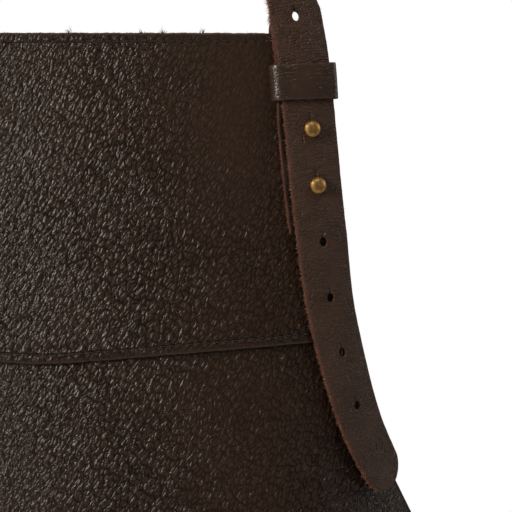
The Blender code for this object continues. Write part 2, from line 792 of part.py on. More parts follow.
def rivet_holes(sign):
    return [(rivet_frame(u, sign), RIVET_RADIUS + GAP, 0.0, THROUGH_CUT) for u in RIVET_U]


def make_waist_keeper():
    half = 0.5 * STRAP_WIDTH + KEEPER_SIDE_CLEARANCE + KEEPER_WALL
    low = WAIST_LIFT - KEEPER_CLEARANCE - KEEPER_WALL
    high = WAIST_OUTER_LIFT + STRAP_THICKNESS + KEEPER_CLEARANCE + KEEPER_WALL
    outer, inner = keeper_loops(-half, half, low, high, 2)
    loops = []
    for outline in (outer, inner):
        for shift in (-0.5 * KEEPER_HEIGHT, 0.5 * KEEPER_HEIGHT):
            u = BACK_MIDDLE + WAIST_KEEPER_PAST_MIDDLE + shift
            loops.append([place(u, WAIST_DROP + across, h) for across, h in outline])
    keeper = swept_ring("waist_keeper", loops[:2], loops[2:], strap_leather())
    u = BACK_MIDDLE + WAIST_KEEPER_PAST_MIDDLE
    set_origin(keeper, place(u, WAIST_DROP, 0.5 * (low + high)))


def make_waist_rivets():
    head_at = WAIST_LIFT + STRAP_THICKNESS + GAP
    cap_at = -(2.0 * LEATHER + 2.0 * GAP)
    for side, sign in SIDES:
        for place_name, u in zip(("front", "rear"), RIVET_U):
            profile = [(0.0, head_at + RIVET_HEAD_HEIGHT)]
            profile += dome(RIVET_HEAD_RADIUS, RIVET_HEAD_HEIGHT, head_at, 3)
            profile += [(RIVET_RADIUS, head_at), (RIVET_RADIUS, cap_at),
                        (RIVET_HEAD_RADIUS, cap_at), (RIVET_HEAD_RADIUS * 0.8, cap_at - 0.0010),
                        (0.0, cap_at - 0.0010)]
            turned("waist_rivet_{}_{}".format(side, place_name), profile,
                   rivet_frame(u, sign), aged_brass())


# ---------------------------------------------------------------- studs and screws
def dome(radius, height, base, steps):
    """Rings of a flattened dome, from near its pole down to its rim."""
    rings = []
    for k in range(1, steps + 1):
        angle = 0.5 * math.pi * k / steps
        rings.append((radius * math.sin(angle), base + height * math.cos(angle)))
    return rings


def stud_profile(head_at, flange_at, post_end, bore_top):
    """Head, neck, flange and hollow post, from the head's pole to the bore's ceiling."""
    crown = head_at + 0.38 * STUD_HEAD_HEIGHT
    profile = [(0.0, head_at + STUD_HEAD_HEIGHT)]
    profile += dome(STUD_HEAD_RADIUS, 0.62 * STUD_HEAD_HEIGHT, crown, 4)
    profile += [(0.86 * STUD_HEAD_RADIUS, head_at), (STUD_NECK_RADIUS, head_at),
                (STUD_NECK_RADIUS, flange_at + FLANGE_HEIGHT),
                (FLANGE_RADIUS, flange_at + FLANGE_HEIGHT), (FLANGE_RADIUS, flange_at),
                (POST_RADIUS, flange_at), (POST_RADIUS, post_end), (BORE_RADIUS, post_end),
                (BORE_RADIUS, bore_top), (0.0, bore_top)]
    return profile


def make_fastening(stud_name, screw_name, matrix, head_at, flange_at, post_end, screw_at):
    """A stud and, from behind, the slotted screw that holds it. Heights are along the frame's Z."""
    bore_top = flange_at - 0.0002
    turned(stud_name, stud_profile(head_at, flange_at, post_end, bore_top), matrix, aged_brass())
    profile = [(0.0, bore_top - 0.0004), (SCREW_RADIUS, bore_top - 0.0004),
               (SCREW_RADIUS, screw_at), (SCREW_HEAD_RADIUS, screw_at),
               (SCREW_HEAD_RADIUS * 0.92, screw_at - SCREW_HEAD_HEIGHT),
               (0.0, screw_at - SCREW_HEAD_HEIGHT)]
    screw = turned(screw_name, profile, matrix, aged_brass())
    slot_at = screw_at - SCREW_HEAD_HEIGHT
    half = (SCREW_HEAD_RADIUS + 0.001, 0.5 * SCREW_SLOT_WIDTH, SCREW_SLOT_DEPTH)
    corners = [(x, y, slot_at + z) for z in (-half[2], half[2])
               for x, y in ((-half[0], -half[1]), (half[0], -half[1]),
                            (half[0], half[1]), (-half[0], half[1]))]
    faces = [(0, 3, 2, 1), (4, 5, 6, 7), (0, 1, 5, 4), (1, 2, 6, 5), (2, 3, 7, 6), (3, 0, 4, 7)]
    points = [matrix @ Vector(corner) for corner in corners]
    add_cut(screw, mesh_from(screw_name + "_slot", points, faces))


def make_neck_fastenings():
    for side, sign in SIDES:
        for level, distance in (("upper", 0.0), ("lower", HOLE_PITCH)):
            head_at = ramp(distance, STRAP_LIFT) + STRAP_THICKNESS + GAP
            flange_at = ANCHOR_LIFT_AT_STUDS + ANCHOR_THICKNESS + GAP
            screw_at = -(LEATHER + ANCHOR_BACK_GAP + ANCHOR_THICKNESS + GAP)
            name = "{}_{}".format(side, level)
            make_fastening("neck_stud_" + name, "neck_screw_" + name,
                           strap_frame(distance, sign, 0.0), head_at, flange_at,
                           -0.5 * LEATHER, screw_at)


def make_waist_fastenings():
    for name, past in zip(("inner", "outer"), WAIST_STUD_PAST_MIDDLE):
        head_at = WAIST_OUTER_LIFT + STRAP_THICKNESS + GAP
        flange_at = WAIST_LIFT + STRAP_THICKNESS + GAP
        screw_at = WAIST_LIFT - GAP
        make_fastening("waist_stud_" + name, "waist_screw_" + name, back_frame(past, 0.0),
                       head_at, flange_at, WAIST_LIFT + WAIST_POST_END, screw_at)


def build():
    clear_scene()
    make_bib()
    make_body()
    make_facing()
    make_neck_strap()
    make_tails()
    make_anchors()
    make_neck_keepers()
    make_waist_straps()
    make_waist_keeper()
    make_waist_rivets()
    make_neck_fastenings()
    make_waist_fastenings()


build()
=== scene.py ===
"""Looks of the leather welding apron: detailed leather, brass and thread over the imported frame.

The apron lies on the wearer in three coordinates: u, the distance round the body from
the middle of the front; drop, the distance below the bib's top edge; and h, the distance
out from the bib's front face. All lengths are metres.
"""

import math
import random

import bmesh
import bpy
import numpy as np
from mathutils import Matrix, Vector, noise


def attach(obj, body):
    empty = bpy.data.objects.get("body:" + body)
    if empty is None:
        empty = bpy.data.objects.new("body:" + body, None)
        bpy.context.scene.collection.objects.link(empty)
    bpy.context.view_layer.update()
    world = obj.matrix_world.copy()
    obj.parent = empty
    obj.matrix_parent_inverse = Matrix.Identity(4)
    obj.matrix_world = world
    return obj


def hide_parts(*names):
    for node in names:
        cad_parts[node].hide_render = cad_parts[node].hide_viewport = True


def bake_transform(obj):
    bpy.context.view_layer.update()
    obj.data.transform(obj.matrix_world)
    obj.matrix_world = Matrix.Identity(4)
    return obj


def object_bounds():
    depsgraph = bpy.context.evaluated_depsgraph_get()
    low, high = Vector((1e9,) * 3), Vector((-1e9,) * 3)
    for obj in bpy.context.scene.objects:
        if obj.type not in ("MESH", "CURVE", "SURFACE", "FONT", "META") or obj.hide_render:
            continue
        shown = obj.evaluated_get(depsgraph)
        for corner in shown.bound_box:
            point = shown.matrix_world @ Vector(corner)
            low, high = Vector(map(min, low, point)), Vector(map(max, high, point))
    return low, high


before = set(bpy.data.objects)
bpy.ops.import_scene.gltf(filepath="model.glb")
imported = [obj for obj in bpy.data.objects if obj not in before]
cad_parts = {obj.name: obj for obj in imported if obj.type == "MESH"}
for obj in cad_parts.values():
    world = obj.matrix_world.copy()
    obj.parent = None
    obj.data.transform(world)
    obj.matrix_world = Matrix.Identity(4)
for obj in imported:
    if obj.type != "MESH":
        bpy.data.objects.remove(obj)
CAD_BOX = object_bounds()

# ---- the cut pattern ----
APRON_LENGTH = 0.914
HALF_WIDTH = 0.305
BIB_TOP_HALF_WIDTH = 0.122
ARMHOLE_DEPTH = 0.255
ARMHOLE_POWER = 3.0
WAIST_CORNER_RADIUS = 0.010
HEM_CORNER_RADIUS = 0.045
LEATHER = 0.0020
GAP = 0.0003
LAP = 0.020
SEAM_DROP = 0.1465
SEAM_SLOPE = 0.085
SEAM_SOFTNESS = 0.010
BIB_FOOT_HALF_WIDTH = 0.134
BIB_FILL = 0.965            # share of the bib's outline that the shallow V of its foot leaves
FULL_EDGE = 0.0014          # the armhole is this much fuller behind the tail's first open hole
FULL_EDGE_DROP = 0.092
FULL_EDGE_REACH = 0.016
FACING_HALF_WIDTH = 0.096
FACING_HEIGHT = 0.028
FACING_THICKNESS = 0.0016
SHEET_EDGE = 0.00035        # how far a sheet's cut edges are softened
SHEET_WALL = 0.00007
FRAY = 0.00006
FAR = 0.006                 # the longest distance that the marks store
BIB_GRID = (104, 185)       # rows and columns of points
BODY_ROWS = 150
BODY_HALF_COLUMNS = 100
FACING_GRID = (15, 97)

# ---- the hide's waves ----
WAVE_HEIGHT = 0.00030
WAVE_HEIGHT_GAIN = 0.0011
WAVE_GROWS_FROM = 0.22
WAVE_GROWS_OVER = 0.40
# Where the hide lies still: (low, high, soft) beside the middle, the same down, and how still.
STILL_PLACES = (((0.098, 0.135, 0.030), (-1.0, 0.10, 0.04), 1.0),
                ((-1.0, 1.0, 1.0), (-1.0, 0.030, 0.030), 1.0),
                ((0.11, 0.17, 0.03), (0.08, 0.21, 0.04), 0.7),
                ((0.250, 0.31, 0.030), (0.25, 0.30, 0.030), 1.0))

# ---- the wearer's shape ----
CHEST_TURN = math.radians(60.0)
CHEST_TURN_AT = 0.135
CHEST_TURN_SPREAD = 0.035
SIDE_TURN = math.radians(45.0)
SIDE_TURN_FROM = 0.150
SIDE_TURN_TO = 0.300
BACK_TURN_FROM = 0.305
BACK_TURN_TO = 0.430
SURFACE_STEP = 0.0005
CHEST_Y = -0.140
BIB_TOP_Z = -0.235

# ---- straps, anchors and keepers ----
STRAP_WIDTH = 0.0215
STRAP_THICKNESS = 0.0030
STRAP_CROWN = 0.00025
BAND_SOFT = 0.00045         # rounding of a band's cut edges
BAND_BULGE = 0.00006
STRAP_UNEVEN = 0.00010
WOBBLE = 0.00012
WOBBLE_RATE = 260.0
END_ROUND = 84.0            # degrees of the quarter turn that a rounded end is drawn to
STRAP_SEEDS = (3.0, 7.0)
ANCHOR_SEEDS = (11.0, 13.0)
WAIST_SEEDS = (17.0, 19.0)
END_STEPS = 14              # sections in the strap end's round tip
WAIST_END_STEPS = 12
STRAP_END_SECTIONS = 150
BOUND_SECTIONS = 24         # sections of the neck loop that follow the bib
WAIST_SECTIONS = 190
STRAP_TABLE_STEP = 0.0005
STRAP_TABLE_REACH = (0.095, 0.170)
AIM = 0.002                 # distance at which a direction along the strap is read
HOLE_PITCH = 0.025
UPPER_STUD_U = 0.1174
UPPER_STUD_DROP = 0.0427
TAIL_SPLIT = 0.0375
TAIL_END = 0.1680
TAIL_BEND = (-0.0075, 0.0120)
DIMPLE_REACH = 0.009
DIMPLE_SPREAD = 0.0034
THROUGH = 0.004             # half depths of the cutters that punch the holes
PANEL_THROUGH = 0.0024
ANCHOR_THROUGH = 0.0022
STRAP_LEAN = ((-0.100, 12.4), (-0.055, 12.4), (-0.036, 8.6), (-0.020, 5.8), (0.000, 6.0),
              (0.012, 5.2), (0.050, 7.4), (0.0875, 13.4), (0.1125, 17.0), (0.130, 22.5),
              (0.145, 32.0), (0.170, 40.0))
STRAP_LIFT = ((-0.100, 0.0056), (-0.010, 0.0056), (0.000, 0.0052), (0.044, 0.0050),
              (0.085, 0.0018), (0.165, 0.0012))
ANCHOR_LEFT = -0.013
ANCHOR_RIGHT = 0.0095
ANCHOR_THICKNESS = 0.0028
ANCHOR_ROUTE = ((-0.006, 0.1135), (0.012, 0.1157), (0.0427, 0.1174), (0.0675, 0.1197),
                (0.089, 0.1224))
ANCHOR_FRONT_END = 0.089
ANCHOR_BACK_END = 0.082
ANCHOR_LIFT_AT_FOLD = 0.0024
ANCHOR_LIFT_AT_STUDS = 0.0010
ANCHOR_FOLD_DROP = 0.0012
ANCHOR_BACK_GAP = 0.0006
ANCHOR_FALL = (0.031, 0.041)
ANCHOR_LEGS_FROM = 0.004    # drop at which the anchor's two legs leave its fold
ANCHOR_STEPS = (30, 14, 60)
KEEPER_HEIGHT = 0.016
KEEPER_WALL = 0.0016
KEEPER_DROP = 0.0218
KEEPER_CORNER = 0.0026
KEEPER_CORNER_STEPS = 9
KEEPER_WALL_STEPS = 26
KEEPER_ROWS = 13
KEEPER_SOFT = 0.0004
KEEPER_ROUND = 0.0012
KEEPER_LIP = 0.00008
KEEPER_DRAWN_IN = 0.00016
KEEPER_UNEVEN = 0.00016
KEEPER_BULGE = 0.00022
KEEPER_SHARP = 60.0
KEEPER_TILT = 0.058
KEEPER_FRONT_BEND = (0.0046, 0.0036)
KEEPER_FRONT_BEND_INSIDE = (0.0030, 0.0020)
KEEPER_CLEARANCE = 0.0004
KEEPER_SIDE_CLEARANCE = 0.0009
KEEPER_SLOPE = 0.075
STRAP_CUT = -0.0210

# ---- the neck loop above the bib ----
FREE_FROM = -0.052
LOOP_RISE = 0.170
NAPE_REACH = 0.085
SHOULDER_NORMAL = Vector((0.55, -0.10, 1.20))
NAPE_NORMAL = Vector((0.0, 0.80, 0.60))
FREE_STEPS = 150

# ---- waist straps ----
WAIST_DROP = 0.275
WAIST_FRONT_END = 0.257
WAIST_LIFT = -0.0019
WAIST_OUTER_LIFT = 0.0025
WAIST_CLIMB_FROM = 0.340
WAIST_CLIMB_END_BEFORE_MIDDLE = 0.060
WAIST_POST_END = 0.0012
WAIST_INNER_PAST_MIDDLE = 0.045
WAIST_OUTER_PAST_MIDDLE = 0.090
WAIST_STUD_PAST_MIDDLE = (-0.020, 0.005)
WAIST_HOLES = 7
WAIST_LAST_HOLE_PAST_MIDDLE = 0.055
WAIST_CROWN = 0.00020
WAIST_KEEPER_PAST_MIDDLE = 0.035
RIVET_U = (0.2655, 0.2905)
RIVET_RADIUS = 0.0018
RIVET_HEAD_RADIUS = 0.0045
RIVET_HEAD_HEIGHT = 0.0012

# ---- studs and screws ----
STUD_HEAD_RADIUS = 0.0037
STUD_HEAD_HEIGHT = 0.0034
STUD_NECK_RADIUS = 0.0017
FLANGE_RADIUS = 0.0042
FLANGE_HEIGHT = 0.0008
POST_RADIUS = 0.0024
POST_HOLE_RADIUS = 0.0027
BORE_RADIUS = 0.0017
SCREW_RADIUS = 0.0014
SCREW_HEAD_RADIUS = 0.0042
SCREW_HEAD_HEIGHT = 0.0012
SCREW_SLOT_WIDTH = 0.0009
SCREW_SLOT_DEPTH = 0.0006
EASE = 0.0002               # small chamfers and clearances of the brass
FINE_EASE = 0.0001
NECK_FILLET = 0.0003
SCREW_DOME = 0.0006
SCREW_ROUND = 0.0005
PIP_RADIUS = 0.00042
PIP_HEIGHT = 0.00013
ROUND_STEPS = 40
BRASS_SHARP = 32.0

# ---- floor ----
FLOOR_HALF = 2.4

# ---- stitching ----
TOP_STITCH_DROP = 0.0038
SEAM_STITCH_ABOVE = 0.0040
STITCH_PITCH = 0.0040
STITCH_LENGTH = 0.0031
THREAD_RADIUS = 0.00036
STITCH_SLANT = 0.00022
STITCH_STRAY = 0.00008
STITCH_SUNK = 0.00050
STITCH_RISE = 0.00062
THREAD_SIDES = 8
THREAD_RUN = 0.013          # the flat coordinates' shift from one run of a tube to the next
THREAD_ROUND = 0.0022

# ---- loose fibres ----
FIBRE_SIDES = 4
TUFTS_AT = (0.0445, 0.0534, 0.0710, -0.031, -0.066, -0.083, 0.012)
TUFT_HAIRS = 10
TUFT_SPREAD = 0.0006
TOP_FUZZ_HAIRS = 300
TOP_FUZZ_SPAN = (-0.119, 0.100)
# Hairs of the top edge: nearest and deepest root, spread, rise, shortest and longest, droop, radius.
TUFT_HAIR = (0.0004, 0.0012, 0.6, 1.0, (0.0008, 0.0027), 0.5, 0.00016)
TOP_FUZZ_HAIR = (0.0003, 0.0014, 0.8, 0.7, (0.0003, 0.0009), 0.4, 0.00010)
# Hairs of the strap's cut edges: how many, first and last distance, the longest hair.
STRAP_FUZZ = ((460, -0.072, -0.048, 0.0016), (170, -0.100, STRAP_CUT, 0.0010))
STRAP_END_FUZZ = (900, STRAP_CUT + 0.002, TAIL_END - 0.001, 0.0011)
STRAP_HAIR_RADIUS = 0.00010
NEAR_EDGE_SHARE = 0.82      # share of the strap's hairs on the bib's side
ANCHOR_HAIRS = 260
ANCHOR_HAIR = (0.0003, 0.0009)
ANCHOR_HAIR_RADIUS = 0.00007
LONG_HAIRS = 3
LONG_HAIRS_DROP = 0.0034
LONG_HAIR = (0.0025, 0.0042)
LONG_HAIR_RADIUS = 0.00009

SIDES = (("left", 1), ("right", -1))


# ---------------------------------------------------------------- the surface
def smooth(x):
    x = np.clip(x, 0.0, 1.0)
    return x * x * (3.0 - 2.0 * x)


def turn(u):
    """Direction of the surface at u, from 0 across the chest to 180 degrees across the back."""
    half = 0.5 * CHEST_TURN
    start = math.tanh(-CHEST_TURN_AT / CHEST_TURN_SPREAD)
    chest = half * (np.tanh((u - CHEST_TURN_AT) / CHEST_TURN_SPREAD) - start)
    side = SIDE_TURN * smooth((u - SIDE_TURN_FROM) / (SIDE_TURN_TO - SIDE_TURN_FROM))
    rest = math.pi - CHEST_TURN - SIDE_TURN
    back = rest * smooth((u - BACK_TURN_FROM) / (BACK_TURN_TO - BACK_TURN_FROM))
    return chest + side + back


def surface_table():
    u = np.arange(0.0, 0.60, SURFACE_STEP)
    middle = turn(u[:-1] + 0.5 * SURFACE_STEP)
    x = np.concatenate(([0.0], np.cumsum(np.cos(middle)) * SURFACE_STEP))
    y = np.concatenate(([0.0], np.cumsum(np.sin(middle)) * SURFACE_STEP))
    return u, x, y


TABLE_U, TABLE_X, TABLE_Y = surface_table()
BACK_MIDDLE = BACK_TURN_TO + float(np.interp(BACK_TURN_TO, TABLE_U, TABLE_X))


def place_all(u, drop, h):
    """Points of the worn apron for arrays of flat-pattern coordinates."""
    u, drop, h = np.broadcast_arrays(np.asarray(u, float), drop, h)
    side = np.where(u >= 0.0, 1.0, -1.0)
    distance = np.abs(u)
    over = distance > BACK_MIDDLE
    distance = np.where(over, 2.0 * BACK_MIDDLE - distance, distance)
    side = np.where(over, -side, side)
    angle = turn(distance)
    x = side * (np.interp(distance, TABLE_U, TABLE_X) + h * np.sin(angle))
    y = CHEST_Y + np.interp(distance, TABLE_U, TABLE_Y) - h * np.cos(angle)
    return np.stack((x, y, BIB_TOP_Z - drop), axis=-1)


def place(u, drop, h):
    return Vector(place_all(u, drop, h))


def outward(u):
    """Unit vector that points out of the surface at u."""
    return place(u, 0.0, 1.0) - place(u, 0.0, 0.0)


def armhole(u):
    """Drop of the apron's upper edge at u: level across the bib, then a concave armhole."""
    reach = (HALF_WIDTH - abs(u)) / (HALF_WIDTH - BIB_TOP_HALF_WIDTH)
    edge = ARMHOLE_DEPTH * max(0.0, 1.0 - reach * reach) ** (1.0 / ARMHOLE_POWER)
    past = max(0.0, abs(u) - (HALF_WIDTH - WAIST_CORNER_RADIUS))
    return edge + WAIST_CORNER_RADIUS - math.sqrt(WAIST_CORNER_RADIUS ** 2 - past ** 2)


def armhole_u(drop):
    """The armhole's distance from the middle at a drop, a little full behind the tail's first hole."""
    reach = np.sqrt(1.0 - np.clip(drop / ARMHOLE_DEPTH, 0.0, 1.0) ** ARMHOLE_POWER)
    full = FULL_EDGE * np.exp(-((drop - FULL_EDGE_DROP) / FULL_EDGE_REACH) ** 2)
    return HALF_WIDTH - reach * (HALF_WIDTH - BIB_TOP_HALF_WIDTH) + full


def seam(u):
    """Drop of the bib's lapped lower edge, a shallow soft V."""
    return SEAM_DROP - SEAM_SLOPE * (np.hypot(u, SEAM_SOFTNESS) - SEAM_SOFTNESS)


def hem(u):
    """Drop of the apron's foot, with rounded corners."""
    past = max(0.0, abs(u) - (HALF_WIDTH - HEM_CORNER_RADIUS))
    return APRON_LENGTH - HEM_CORNER_RADIUS + math.sqrt(HEM_CORNER_RADIUS ** 2 - past ** 2)


def bump_between(x, low, high, soft):
    """1 between low and high, falling to 0 within soft outside them."""
    return smooth((x - low + soft) / soft) * smooth((high + soft - x) / soft)


def wave(u, drop):
    """Slow undulation of the hide, still where other pieces lie on the panels."""
    u = np.asarray(u, float)
    drop = np.asarray(drop, float)
    slow = np.sin(41.0 * u + 13.0 * drop + 0.7) * np.sin(33.0 * drop - 9.0 * u + 0.4)
    quick = np.sin(97.0 * u - 61.0 * drop + 1.9) * np.sin(83.0 * drop + 35.0 * u)
    size = WAVE_HEIGHT + WAVE_HEIGHT_GAIN * smooth((drop - WAVE_GROWS_FROM) / WAVE_GROWS_OVER)
    still = 0.0
    for beside, down, share in STILL_PLACES:
        here = share * bump_between(np.abs(u), *beside) * bump_between(drop, *down)
        still = np.maximum(still, here)
    return size * (1.0 - still) * (0.75 * slow + 0.25 * quick)


# ---------------------------------------------------------------- material helpers
class Signal:
    """A value in a node material. Arithmetic with it adds math nodes."""

    def __init__(self, shade, socket):
        self.shade = shade
        self.socket = socket

    def __add__(self, other):
        return self.shade.math("ADD", self, other)

    def __sub__(self, other):
        return self.shade.math("SUBTRACT", self, other)

    def __mul__(self, other):
        return self.shade.math("MULTIPLY", self, other)

    def __abs__(self):
        return self.shade.math("ABSOLUTE", self, 0.0)

    def most(self, other):
        return self.shade.math("MAXIMUM", self, other)

    def ramp(self, low, high, out_low=0.0, out_high=1.0):
        """Smooth change from out_low at low to out_high at high."""
        limits = ((0, self), (1, low), (2, high), (3, out_low), (4, out_high))
        return self.shade.node("MapRange", limits, (("interpolation_type", "SMOOTHSTEP"),))


class Shade:
    """Builds one node material around a Principled shader."""

    def __init__(self, name, roughness=0.5, metallic=0.0, specular=0.5):
        self.material = bpy.data.materials.new(name)
        self.material.use_nodes = True
        self.tree = self.material.node_tree
        self.shader = self.tree.nodes["Principled BSDF"]
        self.shader.inputs["Roughness"].default_value = roughness
        self.shader.inputs["Metallic"].default_value = metallic
        self.shader.inputs["Specular IOR Level"].default_value = specular

    def node(self, kind, values=(), settings=(), output=0):
        """One output of a new node, with some of its inputs and settings given."""
        item = self.tree.nodes.new("ShaderNode" + kind)
        for key, value in settings:
            setattr(item, key, value)
        for key, value in values:
            self.feed(item.inputs[key], value)
        return Signal(self, item.outputs[output])

    def feed(self, socket, value):
        if isinstance(value, Signal):
            self.tree.links.new(value.socket, socket)
        else:
            socket.default_value = value

    def math(self, operation, a, b):
        return self.node("Math", ((0, a), (1, b)), (("operation", operation),))

    def vector(self, operation, a, b):
        return self.node("VectorMath", ((0, a), (1, b)), (("operation", operation),))

    def where(self):
        """Place on the piece, in metres."""
        return self.node("TexCoord", output="Object")

    def flat(self):
        """Place on the flat cut pattern, in metres."""
        return self.node("UVMap", (), (("uv_map", "flat"),))

    def part(self, vector, index):
        return self.node("SeparateXYZ", ((0, vector),), (), index)

    def mark(self, index):
        """Distance from the cut edge (0) or from a row of stitches (1)."""
        return self.part(self.node("UVMap", (), (("uv_map", "marks"),)), index)

    def mapped(self, coordinates, scale, angle=0.0):
        """Coordinates turned by an angle and then scaled along the two turned axes."""
        values = (("Vector", coordinates), ("Rotation", (0.0, 0.0, -angle)))
        return self.node("Mapping", (("Vector", self.node("Mapping", values)), ("Scale", scale)))

    def noise(self, coordinates, scale, detail=3.0, roughness=0.5, output="Fac"):
        values = (("Vector", coordinates), ("Scale", scale), ("Detail", detail),
                  ("Roughness", roughness))
        return self.node("TexNoise", values, (), output)

    def mix(self, factor, a, b):
        return self.node("Mix", ((0, factor), (6, a), (7, b)), (("data_type", "RGBA"),), 2)

    def finish(self, colour, roughness, height, distance):
        """The material, with its colour, its roughness where given, and its relief."""
        relief = self.node("Bump", (("Height", height), ("Distance", distance), ("Strength", 1.0)))
        self.feed(self.shader.inputs["Base Color"], colour)
        self.feed(self.shader.inputs["Normal"], relief)
        if roughness is not None:
            self.feed(self.shader.inputs["Roughness"], roughness)
        return self.material


def rgb(red, green, blue):
    return (red, green, blue, 1.0)


def pebbles(shade, coordinates, long, short, degrees, warp):
    """Height and shade of pebbled grain: domed cells between creases, drawn out along an angle."""
    loose = shade.noise(coordinates, 230.0, 2.0, output="Color")
    shift = shade.vector("MULTIPLY", shade.vector("SUBTRACT", loose, (0.5, 0.5, 0.5)),
                         (warp, warp, 0.0))
    cells = shade.mapped(shade.vector("ADD", coordinates, shift),
                         (1.0 / long, 1.0 / short, 1.0), math.radians(degrees))

    def voronoi(feature, output):
        return shade.node("TexVoronoi", (("Vector", cells), ("Scale", 1.0), ("Randomness", 1.0)),
                          (("voronoi_dimensions", "2D"), ("feature", feature)), output)

    return voronoi("DISTANCE_TO_EDGE", "Distance").ramp(-0.10, 0.50), voronoi("F1", "Color")


def grain_leather(name, light, dark, wear):
    """Full-grain panel leather: pebbles, long creases, pores, slow colour change, worn rim, painted
    shade darkening the creases and a painted shadow along the stitch line.
    """
    shade = Shade(name, specular=0.46)
    flat = shade.flat()
    across, along = shade.part(flat, 0), shade.part(flat, 1)
    rim = shade.mark(0)
    line = shade.mark(1).ramp(0.0009, 0.0001)
    crown, cell = pebbles(shade, flat, 0.0037, 0.0017, 58.0, 0.0021)
    roll, _cell = pebbles(shade, flat, 0.0085, 0.0034, 60.0, 0.0040)
    small, _cell = pebbles(shade, flat, 0.0017, 0.0012, 50.0, 0.0009)
    crease = shade.noise(shade.mapped(flat, (75.0, 330.0, 1.0), math.radians(60.0)), 1.0, 2.0)
    crease = abs(crease - 0.5).ramp(0.0, 0.055)
    pores = shade.noise(flat, 2600.0, 2.0)
    patch = shade.noise(flat, 34.0, 2.0).ramp(0.40, 0.64)
    tone = shade.noise(flat, 16.0).ramp(0.30, 0.72)
    # calm: the smoother stretch in front of the strap. bold: the strong grain of the middle.
    drift = shade.noise(flat, 26.0, 3.0, 0.6)
    beside = drift * 0.050 + abs(across)
    calm = beside.ramp(0.060, 0.112) * beside.ramp(0.142, 0.124)
    calm = calm * (drift * 0.10 + abs(along)).ramp(0.150, 0.090, 0.45, 1.0)
    bold = (drift * 0.05 + across).ramp(0.062, -0.030, 0.48, 1.12)
    bold = bold.most(beside.ramp(0.125, 0.160, 0.0, 0.68))
    worked = bold * (calm * -0.70 + 1.0) * rim.ramp(-0.0012, 0.0042)
    body = crown * (cell * 0.45 + 0.55) * (crease * 0.50 + 0.50) * (roll * 0.55 + 0.55)
    fine = small * (patch * 0.18 + 0.12)
    height = pores * 0.05 + (roll * 0.60 + (body + fine)) * worked
    height = line * -0.9 + height
    # Painted shade: the colour darkens towards dark in the creases between the pebbles, less in the calm
    # stretch.
    shown = body.ramp(0.03, 0.28).most(calm * 0.62)
    colour = shade.mix(shown, dark, light)
    colour = shade.mix(tone * 0.35, colour, wear)
    colour = shade.mix(rim.ramp(0.0030, 0.0002) * 0.45, colour, wear)
    # Painted shadow: the colour darkens along the sunk stitch line.
    colour = shade.mix(line * 0.80, colour, rgb(0.006, 0.0030, 0.0020))
    rough = pores * 0.06 + (body.ramp(0.42, 0.06) * -0.02 + (calm * 0.08 + 0.31))
    return shade.finish(colour, rough, height, 0.00064)


def flesh_leather():
    """Flesh side of the hide: napped, matt and paler."""
    shade = Shade("leather_flesh_side", roughness=0.9, specular=0.2)
    shade.shader.inputs["Sheen Weight"].default_value = 0.25
    shade.shader.inputs["Sheen Roughness"].default_value = 0.5
    flat = shade.flat()
    nap = shade.noise(shade.mapped(flat, (900.0, 1500.0, 1.0), 0.6), 1.0, 4.0, 0.7)
    cloud = shade.noise(flat, 45.0, 4.0).ramp(0.3, 0.7)
    colour = shade.mix(cloud, rgb(0.078, 0.045, 0.030), rgb(0.096, 0.056, 0.037))
    colour = shade.mix(nap * 0.5, colour, rgb(0.040, 0.023, 0.016))
    return shade.finish(colour, None, nap, 0.00022)


def raw_edge(name, deep, bright):
    """Cut edge of the hide: reddish brown fibres in uneven layers."""
    shade = Shade(name, roughness=0.85, specular=0.25)
    where = shade.where()
    fibres = shade.noise(shade.mapped(where, (1800.0, 1800.0, 1800.0)), 1.0, 4.0, 0.7)
    cloud = shade.noise(where, 160.0).ramp(0.35, 0.70, 0.0, 0.55)
    colour = shade.mix(fibres.ramp(0.30, 0.72), deep, bright)
    colour = shade.mix(cloud, colour, rgb(0.060, 0.030, 0.022))
    return shade.finish(colour, None, fibres, 0.00030)


def strap_leather(name, light, dark, gloss, grain, net_depth, fold_depth, specular):
    """Strap leather: smoother than the panels, with a net of fine creases across its length, darkened as
    painted shade.
    """
    shade = Shade(name, specular=specular)
    flat = shade.flat()
    across, along = shade.part(flat, 0), shade.part(flat, 1)
    net, _cell = pebbles(shade, flat, 0.0040, 0.0014, 0.0, 0.0022)
    crown, cell = pebbles(shade, flat, 0.0014, 0.0010, 20.0, 0.0009)
    fold = shade.noise(shade.mapped(flat, (70.0, 420.0, 1.0)), 1.0, 3.0, 0.55).ramp(0.34, 0.60)
    pores = shade.noise(flat, 3000.0, 2.0)
    tone = shade.noise(flat, 60.0).ramp(0.32, 0.70)
    worked = shade.noise(flat, 90.0, 3.0, 0.6).ramp(0.36, 0.60, 0.25, 1.0)
    worked = worked * along.ramp(0.120, 0.060, 0.25, 1.0)
    above_keeper = across.ramp(-0.002, 0.004) * along.ramp(0.024, 0.034)
    grainy = above_keeper * (2.2 * grain) + abs(across).ramp(0.0, 0.007, 0.3 * grain, grain)
    height = crown * grainy + net.ramp(0.02, 0.42) * worked * net_depth
    height = pores * 0.12 + (fold * fold_depth + height)
    # Painted shade: the colour darkens towards dark in the net's creases. The darker cells after it are
    # the leather's own tone.
    colour = shade.mix(net.ramp(0.24, 0.04) * worked * 0.95, light, dark)
    colour = shade.mix(cell * 0.22, colour, dark)
    colour = shade.mix(tone * 0.30, colour, rgb(0.100, 0.056, 0.038))
    colour = shade.mix(shade.mark(0).ramp(0.0016, 0.0001) * 0.35, colour,
                       rgb(0.105, 0.052, 0.036))
    rough = tone * 0.06 + (cell * 0.10 + gloss)
    return shade.finish(colour, rough, height, 0.00042)


